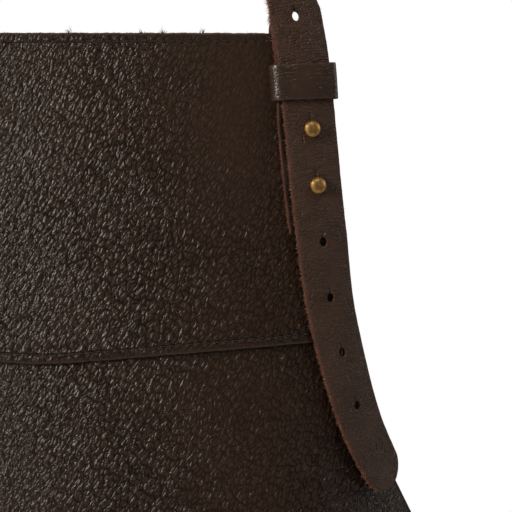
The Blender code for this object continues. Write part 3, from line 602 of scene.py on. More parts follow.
def aged_brass():
    """Old brass: warm metal with a darker film and small scratches."""
    shade = Shade("brass_aged", metallic=1.0)
    where = shade.where()
    film = shade.noise(where, 420.0, 4.0, 0.6).ramp(0.35, 0.70)
    marks = shade.noise(shade.mapped(where, (900.0, 5200.0, 2400.0), 0.5), 1.0)
    colour = shade.mix(film, rgb(0.58, 0.340, 0.118), rgb(0.32, 0.178, 0.060))
    return shade.finish(colour, marks * 0.12 + (film * 0.14 + 0.38), marks, 0.00003)


def thread():
    """Waxed sewing thread, twisted and as dark as the hide."""
    shade = Shade("thread_waxed", specular=0.35)
    turned_flat = shade.mapped(shade.flat(), (1.0, 1.0, 1.0), 0.6)
    ply = shade.node("TexWave", (("Vector", turned_flat), ("Scale", 700.0), ("Distortion", 0.4)),
                     (), "Fac")
    colour = shade.mix(ply, rgb(0.018, 0.0098, 0.0064), rgb(0.062, 0.034, 0.0225))
    return shade.finish(colour, None, ply, 0.00010)


def loose_fibre(name, colour, tip):
    """Loose fibres, between two colours."""
    shade = Shade(name, roughness=0.8, specular=0.2)
    shift = shade.noise(shade.where(), 900.0, 2.0)
    return shade.finish(shade.mix(shift.ramp(0.3, 0.7), colour, tip), None, shift, 0.00002)


# The panel's second colour is the painted shade of its creases.
GRAIN = grain_leather("leather_panel_grain", rgb(0.0440, 0.0212, 0.0106),
                      rgb(0.0050, 0.0019, 0.0010), rgb(0.045, 0.0235, 0.0135))
FLESH = flesh_leather()
RAW = raw_edge("leather_raw_edge", rgb(0.060, 0.023, 0.014), rgb(0.210, 0.078, 0.047))
TRIMMED = raw_edge("leather_trimmed_edge", rgb(0.030, 0.013, 0.009), rgb(0.120, 0.050, 0.034))
# Each strap leather's second colour is the painted shade of its net's creases and the tone of its darker
# cells.
STRAP = strap_leather("leather_strap_grain", rgb(0.087, 0.0475, 0.0318), rgb(0.024, 0.0125, 0.0082),
                      0.34, 0.32, 0.95, 0.40, 0.26)
KEEPER = strap_leather("leather_keeper_grain", rgb(0.049, 0.0268, 0.0172),
                       rgb(0.030, 0.0160, 0.0104), 0.21, 0.06, 0.20, 0.24, 0.62)
# Painted shade: the anchors wear the strap leather made nearly black, so that the gap between each
# anchor and its strap reads as shadow.
ANCHOR_PAINTED_SHADE = strap_leather("leather_anchor_painted_shade", rgb(0.010, 0.0052, 0.0033),
                       rgb(0.005, 0.0026, 0.0017), 0.50, 0.32, 0.50, 0.40, 0.12)
BRASS = aged_brass()
THREAD = thread()
DARK_FIBRE = loose_fibre("fibre_dark", rgb(0.020, 0.012, 0.009), rgb(0.060, 0.038, 0.028))
RED_FIBRE = loose_fibre("fibre_red", rgb(0.200, 0.085, 0.056), rgb(0.520, 0.300, 0.220))
LEATHER_SLOTS = (GRAIN, FLESH, RAW)
STRAP_SLOTS = (STRAP, FLESH, RAW)
KEEPER_SLOTS = (KEEPER, FLESH, TRIMMED)
ANCHOR_SLOTS = (ANCHOR_PAINTED_SHADE, FLESH, RAW)


# ---------------------------------------------------------------- mesh helpers
def linked(name, data):
    """New object of the scene around a mesh, a lamp or a camera."""
    item = bpy.data.objects.new(name, data)
    bpy.context.scene.collection.objects.link(item)
    return item


def mirrored(point):
    return Vector((-point.x, point.y, point.z))


def on_side(point, sign):
    """A point of the left side as it is, or mirrored where sign is -1."""
    return mirrored(point) if sign < 0 else point


def loft(first, rows, count, closed=False):
    """Faces between rows of points, each row closed on itself, from one row to the next."""
    faces = []
    for row in range(rows if closed else rows - 1):
        a, b = first + row * count, first + (row + 1) % rows * count
        faces += [(a + k, a + (k + 1) % count, b + (k + 1) % count, b + k) for k in range(count)]
    return faces


def cap(first, count):
    return tuple(range(first, first + count))


def wall_kind(a, b):
    """Kind of a face between two kinds of points: 0 outer, 1 inner, 2 the cut edge, which wins."""
    return 2 if 2 in (a, b) else a


def new_piece(name, points, faces, materials, face_material=None, flat=None, marks=None,
              sharp=38.0):
    """Mesh object with its materials and, where given, its flat-pattern coordinates."""
    mesh = bpy.data.meshes.new(name)
    mesh.from_pydata([tuple(p) for p in points], [], faces)
    for material in materials:
        mesh.materials.append(material)
    if face_material is not None:
        mesh.polygons.foreach_set("material_index", np.asarray(face_material, np.int32))
    corners = np.empty(len(mesh.loops), np.int32)
    mesh.loops.foreach_get("vertex_index", corners)
    for layer_name, values in (("flat", flat), ("marks", marks)):
        if values is not None:
            layer = mesh.uv_layers.new(name=layer_name)
            data = np.asarray(values, np.float32)[corners]
            layer.data.foreach_set("uv", data.ravel())
    work = bmesh.new()
    work.from_mesh(mesh)
    bmesh.ops.recalc_face_normals(work, faces=work.faces)
    work.to_mesh(mesh)
    work.free()
    mesh.shade_smooth()
    mesh.set_sharp_from_angle(angle=math.radians(sharp))
    return linked(name, mesh)


def ride(item, body, slot, *nodes):
    """Attach a finished piece to a body and hide the solids that it stands for; slot is not used."""
    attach(item, body)
    if nodes:
        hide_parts(*nodes)
    return item


def punch(item, holes, cut_material=2):
    """Cut holes into a mesh. Each is a matrix, outline and half depth; its wall is raw edge."""
    points, faces = [], []
    for matrix, outline, depth in holes:
        count = len(outline)
        base = len(points)
        for z in (-depth, depth):
            points.extend(matrix @ Vector((x, y, z)) for x, y in outline)
        faces += [cap(base, count)[::-1], cap(base + count, count)] + loft(base, 2, count)
    cutter = new_piece(item.name + "_cutter", points, faces, list(item.data.materials),
                       [cut_material] * len(faces))
    cut = item.modifiers.new("holes", "BOOLEAN")
    cut.operation = "DIFFERENCE"
    cut.solver = "EXACT"
    cut.object = cutter
    graph = bpy.context.evaluated_depsgraph_get()
    mesh = bpy.data.meshes.new_from_object(item.evaluated_get(graph))
    item.modifiers.clear()
    old = item.data
    item.data = mesh
    mesh.name = old.name
    bpy.data.meshes.remove(old)
    bpy.data.objects.remove(cutter, do_unlink=True)
    return item


def round_hole(radius, stretch=1.0, steps=20):
    return [(radius * math.cos(2.0 * math.pi * k / steps),
             stretch * radius * math.sin(2.0 * math.pi * k / steps)) for k in range(steps)]


def keyhole(radius, slit_width, slit_length, stretch=1.0):
    """Round hole whose upper side runs into a tapering slit."""
    half = 0.5 * slit_width
    mouth = math.asin(half / radius)
    start = 0.5 * math.pi + mouth
    sweep = 2.0 * math.pi - 2.0 * mouth
    outline = []
    for k in range(19):
        angle = start + sweep * k / 18
        outline.append((radius * math.cos(angle), stretch * radius * math.sin(angle)))
    top = stretch * radius + slit_length
    return outline + [(0.35 * half, top), (-0.35 * half, top)]


def ring_of(rows, columns):
    """Indices round the border of a grid of points, once round."""
    ring = [k for k in range(columns)]
    ring += [r * columns + columns - 1 for r in range(1, rows)]
    ring += [(rows - 1) * columns + k for k in range(columns - 2, -1, -1)]
    ring += [r * columns for r in range(rows - 2, 0, -1)]
    return ring


def inset(u, drop, ring, amount):
    """Move the border of a flat grid inward by an amount."""
    u, drop = u.copy(), drop.copy()
    ru, rd = u.ravel()[ring], drop.ravel()[ring]
    du = np.roll(ru, -1) - np.roll(ru, 1)
    dd = np.roll(rd, -1) - np.roll(rd, 1)
    length = np.hypot(du, dd) + 1e-12
    flat_u, flat_d = u.reshape(-1), drop.reshape(-1)
    flat_u[ring] = ru - amount * dd / length
    flat_d[ring] = rd + amount * du / length
    return flat_u.reshape(u.shape), flat_d.reshape(drop.shape)


def rim_distance(u, drop, ring):
    """Distance of each grid point from the grid's border, up to FAR."""
    border = np.stack((u.ravel()[ring], drop.ravel()[ring]), axis=1)
    points = np.stack((u.ravel(), drop.ravel()), axis=1)
    best = np.full(len(points), FAR)
    for start in range(0, len(points), 4000):
        part = points[start:start + 4000]
        gap = np.hypot(part[:, None, 0] - border[None, :, 0], part[:, None, 1] - border[None, :, 1])
        best[start:start + 4000] = np.minimum(gap.min(axis=1), FAR)
    return best


def leather_sheet(name, u, drop, h_front, thickness, stitch):
    """Sheet of hide over a flat grid, with softened and slightly frayed cut edges."""
    rows, columns = u.shape
    count = rows * columns
    ring = ring_of(rows, columns)
    n = len(ring)
    iu, idrop = inset(u, drop, ring, SHEET_EDGE)
    lift = wave(iu, idrop)
    front = place_all(iu, idrop, h_front + lift).reshape(-1, 3)
    back = place_all(iu, idrop, h_front - thickness + lift).reshape(-1, 3)
    ru, rd = u.ravel()[ring], drop.ravel()[ring]
    step = np.arange(n)
    fray = FRAY * (np.sin(1.7 * step) + np.sin(2.9 * step + 1.0) + np.sin(0.53 * step))
    ju, jd = inset(u, drop, ring, SHEET_WALL)
    wu = ju.ravel()[ring] + fray * 0.5
    wd = jd.ravel()[ring] + fray
    wl = wave(ru, rd)
    upper = place_all(wu, wd, h_front - SHEET_EDGE + wl)
    lower = place_all(wu, wd, h_front - thickness + SHEET_EDGE + wl)
    points = np.concatenate((front, back, upper, lower))
    flat_front = np.stack((iu.ravel(), -idrop.ravel()), axis=1)
    flat_wall = np.stack((ru, -rd), axis=1)
    flat = np.concatenate((flat_front, flat_front, flat_wall, flat_wall))
    marks = np.stack((rim_distance(u, drop, ring), stitch(iu.ravel(), idrop.ravel())), axis=1)
    marks = np.concatenate((marks, marks, np.full((2 * n, 2), FAR)))
    faces, kinds = [], []
    for r in range(rows - 1):
        for a in range(r * columns, (r + 1) * columns - 1):
            b = count + a
            faces += [(a, a + 1, a + columns + 1, a + columns),
                      (b, b + columns, b + columns + 1, b + 1)]
            kinds += [0, 1]
    for k in range(n):
        m = (k + 1) % n
        a, b = ring[k], ring[m]
        wa, wb = 2 * count + k, 2 * count + m
        faces += [(b, a, wa, wb), (wb, wa, wa + n, wb + n), (wb + n, wa + n, count + a, count + b)]
        kinds += [2, 2, 2]
    return new_piece(name, points, faces, LEATHER_SLOTS, kinds, flat, marks, sharp=60.0)


# ---------------------------------------------------------------- the panels
def no_stitch(u, drop):
    return np.full(np.shape(u), FAR)


def bib_stitch_distance(u, drop):
    """Distance from the bib's two rows of stitches."""
    top = np.hypot(drop - TOP_STITCH_DROP, np.maximum(0.0, np.abs(u) - FACING_HALF_WIDTH))
    return np.minimum(np.abs(top), np.abs(drop - (seam(u) - SEAM_STITCH_ABOVE)))


def make_bib():
    t = np.linspace(0.0, 1.0, BIB_GRID[0])[:, None]
    s = np.linspace(-1.0, 1.0, BIB_GRID[1])[None, :]
    u = s * armhole_u(t * seam(s * BIB_FOOT_HALF_WIDTH))
    bib = leather_sheet("bib_leather", u, t * seam(u), 0.0, LEATHER, bib_stitch_distance)
    punch(bib, [(strap_frame(distance, sign, -0.5 * LEATHER), round_hole(POST_HOLE_RADIUS),
                 PANEL_THROUGH) for _side, sign in SIDES for distance in (0.0, HOLE_PITCH)])
    area = 2.0 * float(np.trapz(armhole_u(t[:, 0] * SEAM_DROP), t[:, 0])) * SEAM_DROP * BIB_FILL
    flat = (2.0 * BIB_FOOT_HALF_WIDTH, SEAM_DROP)
    return ride(bib, "apron", "panel_leather", "bib_panel"), flat, area


def make_body():
    def top(u):
        return max(float(seam(u)) - LAP, armhole(u))

    fine = np.linspace(0.0, HALF_WIDTH - 1e-6, 6000)
    drops = np.array([top(u) for u in fine])
    length = np.concatenate(([0.0], np.cumsum(np.hypot(np.diff(fine), np.diff(drops)))))
    half = np.interp(np.linspace(0.0, length[-1], BODY_HALF_COLUMNS), length, fine)
    corner = HALF_WIDTH - HEM_CORNER_RADIUS * (1.0 - np.sin(np.radians((35, 50, 62, 72, 80, 86))))
    half = np.unique(np.concatenate((half, corner)))
    row = np.concatenate((-half[:0:-1], half))
    tops = np.array([top(u) for u in row])
    hems = np.array([hem(u) for u in row])
    t = np.linspace(0.0, 1.0, BODY_ROWS)[:, None]
    u = np.repeat(row[None, :], len(t), axis=0)
    drop = tops[None, :] * (1.0 - t) + hems[None, :] * t
    body = leather_sheet("body_leather", u, drop, -(LEATHER + GAP), LEATHER, no_stitch)
    punch(body, [(rivet_frame(at, sign, -(1.5 * LEATHER + GAP)), round_hole(RIVET_RADIUS + GAP),
                  PANEL_THROUGH) for _side, sign in SIDES for at in RIVET_U])
    area = float(np.trapz(hems - tops, row))
    flat = (2.0 * HALF_WIDTH, APRON_LENGTH - SEAM_DROP + LAP + SEAM_SLOPE * 0.12)
    return ride(body, "apron", "panel_leather", "body_panel"), flat, area


def make_facing():
    u, drop = np.meshgrid(np.linspace(-FACING_HALF_WIDTH, FACING_HALF_WIDTH, FACING_GRID[1]),
                          np.linspace(0.0005, FACING_HEIGHT, FACING_GRID[0]))

    def row(u, drop):
        return np.abs(drop - TOP_STITCH_DROP)

    facing = leather_sheet("facing_leather", u, drop, -(LEATHER + GAP), FACING_THICKNESS, row)
    return ride(facing, "apron", "panel_leather", "top_facing")


# ---------------------------------------------------------------- the neck strap's route
def ramp(distance, knots):
    """Smooth value between given (distance, value) pairs."""
    for (d0, v0), (d1, v1) in zip(knots, knots[1:]):
        if distance <= d1:
            return v0 + (v1 - v0) * float(smooth((distance - d0) / (d1 - d0)))
    return knots[-1][1]


def lean(distance):
    """Lean of the strap at a distance below the upper stud, in radians."""
    values = np.array(STRAP_LEAN)
    return math.radians(float(np.interp(distance, values[:, 0], values[:, 1])))


def strap_table():
    """Rows of (distance, u, drop) along the strap's middle, from the upper stud up and down."""
    step = STRAP_TABLE_STEP
    rows = []
    for reach, sign in zip(STRAP_TABLE_REACH, (-1.0, 1.0)):
        u, drop = UPPER_STUD_U, UPPER_STUD_DROP
        half = []
        for d in sign * np.arange(0.0, reach, step):
            half.append((d, u, drop))
            angle = lean(d + 0.5 * sign * step)
            u += sign * step * math.sin(angle)
            drop += sign * step * math.cos(angle)
        rows.append(half)
    return np.array(list(reversed(rows[0][1:])) + rows[1])


STRAP_TABLE = strap_table()


def strap_middle(distance):
    u = float(np.interp(distance, STRAP_TABLE[:, 0], STRAP_TABLE[:, 1]))
    drop = float(np.interp(distance, STRAP_TABLE[:, 0], STRAP_TABLE[:, 2]))
    return u, drop


def strap_point(distance, across, h):
    u, drop = strap_middle(distance)
    angle = lean(distance)
    return place(u + across * math.cos(angle), drop - across * math.sin(angle), h)


def frame_from(origin, y, z):
    x = y.cross(z).normalized()
    y = z.cross(x)
    matrix = Matrix((x, y, z)).transposed().to_4x4()
    matrix.translation = origin
    return matrix


def frame_at(point, axis):
    z = Vector(axis).normalized()
    x = Vector((0.0, 0.0, 1.0)).cross(z).normalized()
    return frame_from(point, z.cross(x), z)


def strap_frame(distance, sign, h):
    """Frame on the strap's middle line, with Z outward and Y up along the strap."""
    u, drop = strap_middle(distance)
    origin = place(u, drop, h)
    y = (strap_point(distance - AIM, 0.0, h) - origin).normalized()
    return frame_from(*(on_side(v, sign) for v in (origin, y, outward(u))))


def band_profile(half, thickness):
    """Section of a strap as (across, height, kind) points, outer face first."""
    soft = min(BAND_SOFT, 0.35 * half)
    face = [((half - soft) * (1.0 - 2.0 * k / 12), thickness, 0) for k in range(13)]
    back = [((half - soft) * (2.0 * k / 6 - 1.0), 0.0, 1) for k in range(7)]
    edge = ((half - 0.15 * soft, thickness - 0.4 * soft), (half, thickness - soft),
            (half + BAND_BULGE, 0.5 * thickness), (half, soft), (half - 0.3 * soft, 0.3 * soft))
    return (face + [(-across, height, 2) for across, height in edge] + back
            + [(across, height, 2) for across, height in reversed(edge)])


def section(half, thickness, sign, run, spot):
    """Points, flat coordinates, rim distances and kinds round a strap.

    spot(across, height) places each point, and run is the distance along the flat strap.
    """
    outline = band_profile(half, thickness)
    return ([on_side(spot(across, height), sign) for across, height, _kind in outline],
            [(sign * across, run) for across, _height, _kind in outline],
            [max(0.0, half - abs(across)) for across, _height, _kind in outline],
            [kind for _across, _height, kind in outline])


def band(name, sections, slots, sharp=50.0):
    """Strap through sections that share one outline."""
    points = [point for row in sections for point in row[0]]
    flat = [at for row in sections for at in row[1]]
    marks = [(rim, FAR) for row in sections for rim in row[2]]
    kinds_round = sections[0][3]
    count = len(kinds_round)
    faces = loft(0, len(sections), count)
    kinds = [wall_kind(a, b) for a, b in zip(kinds_round, kinds_round[1:] + kinds_round[:1])]
    kinds *= len(sections) - 1
    faces += [cap(0, count), cap(len(points) - count, count)]
    return new_piece(name, points, faces, slots, kinds + [2, 2], flat, marks, sharp)


def wobble(distance, across, seeds):
    """Small unevenness of a hand-cut edge, different on the band's two sides."""
    seed = seeds[0] if across > 0 else seeds[1]
    return WOBBLE * noise.noise(Vector((distance * WOBBLE_RATE, seed, 0.0)))


def dimple(distance, across):
    """How far the strap's face sinks round its holes and studs."""
    sunk = 0.0
    for spot, depth in STRAP_SPOTS:
        away = math.hypot(distance - spot, across)
        if away < DIMPLE_REACH:
            sunk += depth * math.exp(-(away / DIMPLE_SPREAD) ** 2)
    return sunk


STRAP_SPOTS = [(0.0, 0.00035), (HOLE_PITCH, 0.00035)]
STRAP_SPOTS += [(k * HOLE_PITCH, 0.00030) for k in (-4, -3, -2, 2, 3, 4, 5)]


def swell(distance, across, half, height):
    """How far the strap's faces stand out, domed between the edges and dimpled at the holes."""
    crown = STRAP_CROWN * (1.0 - (across / half) ** 2)
    outer = height > 0.5 * STRAP_THICKNESS
    return crown - dimple(distance, across) if outer else 0.35 * crown


def strap_section(distance, sign, half=0.5 * STRAP_WIDTH):
    lift = ramp(distance, STRAP_LIFT)

    def spot(across, height):
        edge = wobble(distance, across, STRAP_SEEDS) * (abs(across) / half) ** 3
        h = lift + height + swell(distance, across, half, height)
        h += STRAP_UNEVEN * noise.noise(Vector((across * 120.0, distance * 90.0, 5.0)))
        return strap_point(distance, across + edge, h)

    return section(half, STRAP_THICKNESS, sign, -distance, spot)


def free_controls():
    u, drop = strap_middle(FREE_FROM)
    lift = ramp(FREE_FROM, STRAP_LIFT) + 0.5 * STRAP_THICKNESS
    start = place(u, drop, lift)
    rise = (strap_point(FREE_FROM - 0.001, 0.0, lift) - start).normalized()
    nape = NAPE_NORMAL.normalized()
    end = 0.5 * STRAP_THICKNESS * nape
    controls = (start, start + LOOP_RISE * rise, end + Vector((NAPE_REACH, 0.0, 0.0)), end)
    bend = float(turn(u + 0.001) - turn(u - 0.001)) / 0.002
    return controls, (outward(u), SHOULDER_NORMAL, nape), bend


FREE = free_controls()


def free_frame_parts(t):
    """Middle point, direction, side and outward vectors of the free loop at t."""
    controls, normals, _bend = FREE
    p0, p1, p2, p3 = controls
    s = 1.0 - t
    centre = s ** 3 * p0 + 3 * s * s * t * p1 + 3 * s * t * t * p2 + t ** 3 * p3
    along = (s * s * (p1 - p0) + 2 * s * t * (p2 - p1) + t * t * (p3 - p2)).normalized()
    normal = s * s * normals[0] + 2 * s * t * normals[1] + t * t * normals[2]
    normal = (normal - normal.dot(along) * along).normalized()
    return centre, along, along.cross(normal), normal


def free_section(t, distance):
    centre, _along, side, normal = free_frame_parts(t)
    bend = FREE[2] * (1.0 - float(smooth(3.0 * t)))
    half = 0.5 * STRAP_WIDTH

    def spot(across, height):
        angle = bend * across
        local = (normal * math.cos(angle) + side * math.sin(angle)).normalized()
        foot = centre + side * across - normal * 0.5 * bend * across * across
        h = height - 0.5 * STRAP_THICKNESS + swell(distance, across, half, height)
        return foot + local * h + side * wobble(distance, across, STRAP_SEEDS)

    return section(half, STRAP_THICKNESS, 1, -distance, spot)


def free_distances():
    """Distance along the strap from the upper stud for each step of the free loop."""
    middles = [free_frame_parts(k / FREE_STEPS)[0] for k in range(FREE_STEPS + 1)]
    travelled = [FREE_FROM]
    for a, b in zip(middles, middles[1:]):
        travelled.append(travelled[-1] - (b - a).length)
    return travelled


FREE_DISTANCES = free_distances()


def free_t(distance):
    """Place on the free loop, 0 to 1, at a distance along the strap from the upper stud."""
    return float(np.interp(-distance, [-d for d in FREE_DISTANCES],
                           [k / FREE_STEPS for k in range(FREE_STEPS + 1)]))


def free_frame(distance, sign):
    """Frame on the free loop at a distance along the strap from the upper stud."""
    origin, y, _side, z = free_frame_parts(free_t(distance))
    return frame_from(*(on_side(v, sign) for v in (origin, y, z)))


def strap_hole(distance, sign, outline):
    if distance > FREE_FROM:
        lift = ramp(distance, STRAP_LIFT) + 0.5 * STRAP_THICKNESS
        return strap_frame(distance, sign, lift), outline, THROUGH
    return free_frame(distance, sign), outline, THROUGH


SMALL_HOLE = keyhole(0.00172, 0.0005, 0.0026, 1.24)
STUD_HOLE = keyhole(0.0021, 0.0007, 0.0048)


def make_neck_loop():
    half = [strap_section(float(d), 1)
            for d in np.linspace(STRAP_CUT - 0.0002, FREE_FROM, BOUND_SECTIONS)]
    half += [free_section(k / FREE_STEPS, FREE_DISTANCES[k]) for k in range(1, FREE_STEPS + 1)]
    length = 2.0 * FREE_DISTANCES[-1]
    other = [([mirrored(p) for p in row], [(a, -(length + d)) for a, d in flat], rim, kinds)
             for row, flat, rim, kinds in half[-2::-1]]
    loop = band("neck_loop_leather", half + other, STRAP_SLOTS)
    outlines = ((-3, SMALL_HOLE), (-2, SMALL_HOLE), (-1, round_hole(0.00135)))
    punch(loop, [strap_hole(k * HOLE_PITCH, sign, outline)
                 for _side, sign in SIDES for k, outline in outlines])
    return ride(loop, "apron", "strap_leather", "neck_strap")


def bend_with_tail(item, sign):
    """Bake the piece's transform into its mesh. The tail hinge's two points are worked out but not used.
    """
    lift = ramp(TAIL_SPLIT, STRAP_LIFT) + STRAP_THICKNESS
    start, end = (tuple(on_side(strap_point(TAIL_SPLIT + d, 0.0, lift), sign)) for d in TAIL_BEND)
    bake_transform(item)


def make_strap_end(side, sign):
    radius = 0.5 * STRAP_WIDTH
    tip_from = TAIL_END - radius
    sections = [strap_section(float(d), sign)
                for d in np.linspace(STRAP_CUT, tip_from, STRAP_END_SECTIONS)]
    for k in range(1, END_STEPS + 1):
        angle = math.radians(END_ROUND * k / END_STEPS)
        sections.append(strap_section(tip_from + radius * math.sin(angle), sign,
                                      radius * math.cos(angle)))
    strap = band("strap_end_leather_" + side, sections, STRAP_SLOTS)
    punch(strap, [strap_hole(k * HOLE_PITCH, sign, STUD_HOLE if k < 2 else SMALL_HOLE)
                  for k in range(6)])
    bend_with_tail(strap, sign)
    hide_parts("strap_tail_" + side)
    return strap


# ---------------------------------------------------------------- anchors and keepers
def anchor_middle(drop):
    route = np.array(ANCHOR_ROUTE)
    return float(np.interp(drop, route[:, 0], route[:, 1]))


def anchor_lift(drop):
    fall = float(smooth((drop - ANCHOR_FALL[0]) / (ANCHOR_FALL[1] - ANCHOR_FALL[0])))
    return ANCHOR_LIFT_AT_FOLD + (ANCHOR_LIFT_AT_STUDS - ANCHOR_LIFT_AT_FOLD) * fall


def anchor_path():
    """(near, far) pairs of (drop, h) along an anchor, from its back end over to its front end."""
    back_near = -(LEATHER + ANCHOR_BACK_GAP)
    back_far = back_near - ANCHOR_THICKNESS
    back, fold, front = ANCHOR_STEPS
    path = [((d, back_near), (d, back_far))
            for d in np.linspace(ANCHOR_BACK_END, ANCHOR_LEGS_FROM, back)]
    middle = 0.5 * (back_near + ANCHOR_LIFT_AT_FOLD)
    radius = 0.5 * (ANCHOR_LIFT_AT_FOLD - back_near)
    for k in range(fold + 1):
        angle = math.pi * (1.0 - k / fold)
        path.append(tuple((ANCHOR_FOLD_DROP - r * math.sin(angle), middle + r * math.cos(angle))
                          for r in (radius, radius + ANCHOR_THICKNESS)))
    for d in np.linspace(ANCHOR_LEGS_FROM, ANCHOR_FRONT_END, front):
        lift = anchor_lift(d)
        path.append(((d, lift), (d, lift + ANCHOR_THICKNESS)))
    return path


def make_anchor(side, sign):
    width = ANCHOR_RIGHT - ANCHOR_LEFT
    shift = 0.5 * (ANCHOR_RIGHT + ANCHOR_LEFT)
    sections = []
    run = 0.0
    before = None
    for near, far in anchor_path():
        middle = (0.5 * (near[0] + far[0]), 0.5 * (near[1] + far[1]))
        u = anchor_middle(middle[0]) + shift
        run += 0.0 if before is None else (Vector(middle) - Vector(before)).length
        before = middle

        def spot(across, height):
            f = height / ANCHOR_THICKNESS
            edge = 1.5 * wobble(run, across, ANCHOR_SEEDS) * (abs(across) / width) * 2.0
            return place(u + across + edge, near[0] + (far[0] - near[0]) * f,
                         near[1] + (far[1] - near[1]) * f)

        sections.append(section(0.5 * width, ANCHOR_THICKNESS, sign, run, spot))
    anchor = band("anchor_leather_" + side, sections, ANCHOR_SLOTS)
    legs = ((ANCHOR_LIFT_AT_STUDS + 0.5 * ANCHOR_THICKNESS, POST_HOLE_RADIUS),
            (-(LEATHER + ANCHOR_BACK_GAP + 0.5 * ANCHOR_THICKNESS), BORE_RADIUS))
    punch(anchor, [(strap_frame(distance, sign, h), round_hole(radius), ANCHOR_THROUGH)
                   for distance in (0.0, HOLE_PITCH) for h, radius in legs])
    return ride(anchor, "apron", "strap_leather", "strap_anchor_" + side)


def keeper_outline(low_a, high_a, low_b, high_b, bend, tight):
    """Sleeve's outline in (across, h): a wide soft bend at the front's left, tight ones elsewhere."""
    corners = ((high_a, low_b, -90, tight), (high_a, high_b, 0, tight),
               (low_a, high_b, 90, bend), (low_a, low_b, 180, tight))
    spans = {1: low_a + bend[0] - (high_a - tight[0]), 3: high_a - low_a - 2.0 * tight[0]}
    loop = []
    for index, (a, b, start, (wide, tall)) in enumerate(corners):
        centre_a = a - wide if a == high_a else a + wide
        centre_b = b - tall if b == high_b else b + tall
        for k in range(KEEPER_CORNER_STEPS + 1):
            angle = math.radians(start + 90.0 * k / KEEPER_CORNER_STEPS)
            loop.append((centre_a + wide * math.cos(angle), centre_b + tall * math.sin(angle)))
        if index in spans:
            loop += [(centre_a + spans[index] * k / KEEPER_WALL_STEPS, b)
                     for k in range(1, KEEPER_WALL_STEPS)]
    return loop


def make_keeper(name, node, left, right, low, high, spot, sign):
    """Leather sleeve: spot(across, h, shift) places a point, shift along the strap."""
    tight = (KEEPER_CORNER, KEEPER_CORNER)
    tight_inside = (KEEPER_CORNER - KEEPER_WALL, KEEPER_CORNER - KEEPER_WALL)
    outer = keeper_outline(left, right, low, high, KEEPER_FRONT_BEND, tight)
    inner = keeper_outline(left + KEEPER_WALL, right - KEEPER_WALL, low + KEEPER_WALL,
                           high - KEEPER_WALL, KEEPER_FRONT_BEND_INSIDE, tight_inside)
    between = [(0.5 * (a + c), 0.5 * (b + d)) for (a, b), (c, d) in zip(outer, inner)]
    lengths = [0.0]
    for a, b in zip(outer, outer[1:] + outer[:1]):
        lengths.append(lengths[-1] + math.hypot(b[0] - a[0], b[1] - a[1]))
    half = 0.5 * KEEPER_HEIGHT
    steps = [-half + KEEPER_SOFT, *np.linspace(-half + KEEPER_ROUND, half - KEEPER_ROUND,
                                               KEEPER_ROWS - 2), half - KEEPER_SOFT]
    # Each ring is (outline, shift, kind, how far it is pushed out).
    rings = [(outer, s, 0, 0.0) for s in steps]
    rings += [(outer, half - KEEPER_LIP, 2, -KEEPER_DRAWN_IN), (between, half, 2, 0.0)]
    rings += [(inner, s, 1, 0.0) for s in reversed(steps)]
    rings += [(between, -half, 2, 0.0), (outer, -half + KEEPER_LIP, 2, -KEEPER_DRAWN_IN)]
    middle_a, middle_h = 0.5 * (left + right), 0.5 * (low + high)
    points, flat, marks = [], [], []
    for outline, shift, kind, pushed in rings:
        bulge = KEEPER_BULGE * (1.0 - (shift / half) ** 2) if kind == 0 else 0.0
        for length, (a, h) in zip(lengths, outline):
            uneven = KEEPER_UNEVEN * noise.noise(Vector((length * 180.0, shift * 90.0, 2.0)))
            push = pushed * Vector((a - middle_a, 3.0 * (h - middle_h))).normalized()
            raised = uneven + bulge if h > middle_h else 0.0
            point = spot(a + push.x, h + push.y + raised, shift + 1.4 * uneven)
            points.append(on_side(point, sign))
            flat.append((sign * length, -shift))
            marks.append((max(0.0, half - abs(shift)), FAR))
    kinds = []
    for ring, after in zip(rings, rings[1:] + rings[:1]):
        kinds += [wall_kind(ring[2], after[2])] * len(outer)
    keeper = new_piece(name, points, loft(0, len(rings), len(outer), closed=True), KEEPER_SLOTS,
                       kinds, flat, marks, KEEPER_SHARP)
    return ride(keeper, node, "strap_leather", node)


def make_neck_keeper(side, sign):
    def spot(across, h, shift):
        drop = KEEPER_DROP - shift - KEEPER_TILT * across
        return place(anchor_middle(KEEPER_DROP) - KEEPER_SLOPE * shift + across, drop, h)

    clear = KEEPER_SIDE_CLEARANCE + KEEPER_WALL
    reach = KEEPER_CLEARANCE + KEEPER_WALL
    make_keeper("keeper_leather_" + side, "neck_keeper_" + side, ANCHOR_LEFT - clear,
                ANCHOR_RIGHT + clear, ANCHOR_LIFT_AT_FOLD - reach,
                STRAP_LIFT[0][1] + STRAP_THICKNESS + reach, spot, sign)


def make_waist_keeper():
    def spot(across, h, shift):
        return place(BACK_MIDDLE + WAIST_KEEPER_PAST_MIDDLE + shift, WAIST_DROP + across, h)

    half = 0.5 * STRAP_WIDTH + KEEPER_SIDE_CLEARANCE + KEEPER_WALL
    reach = KEEPER_CLEARANCE + KEEPER_WALL
    make_keeper("waist_keeper_leather", "waist_keeper", -half, half, WAIST_LIFT - reach,
                WAIST_OUTER_LIFT + STRAP_THICKNESS + reach, spot, 1)


# ---------------------------------------------------------------- the waist straps
def outer_lift(u):
    climb_end = BACK_MIDDLE - WAIST_CLIMB_END_BEFORE_MIDDLE
    climb = float(smooth((u - WAIST_CLIMB_FROM) / (climb_end - WAIST_CLIMB_FROM)))
    return WAIST_LIFT + (WAIST_OUTER_LIFT - WAIST_LIFT) * climb


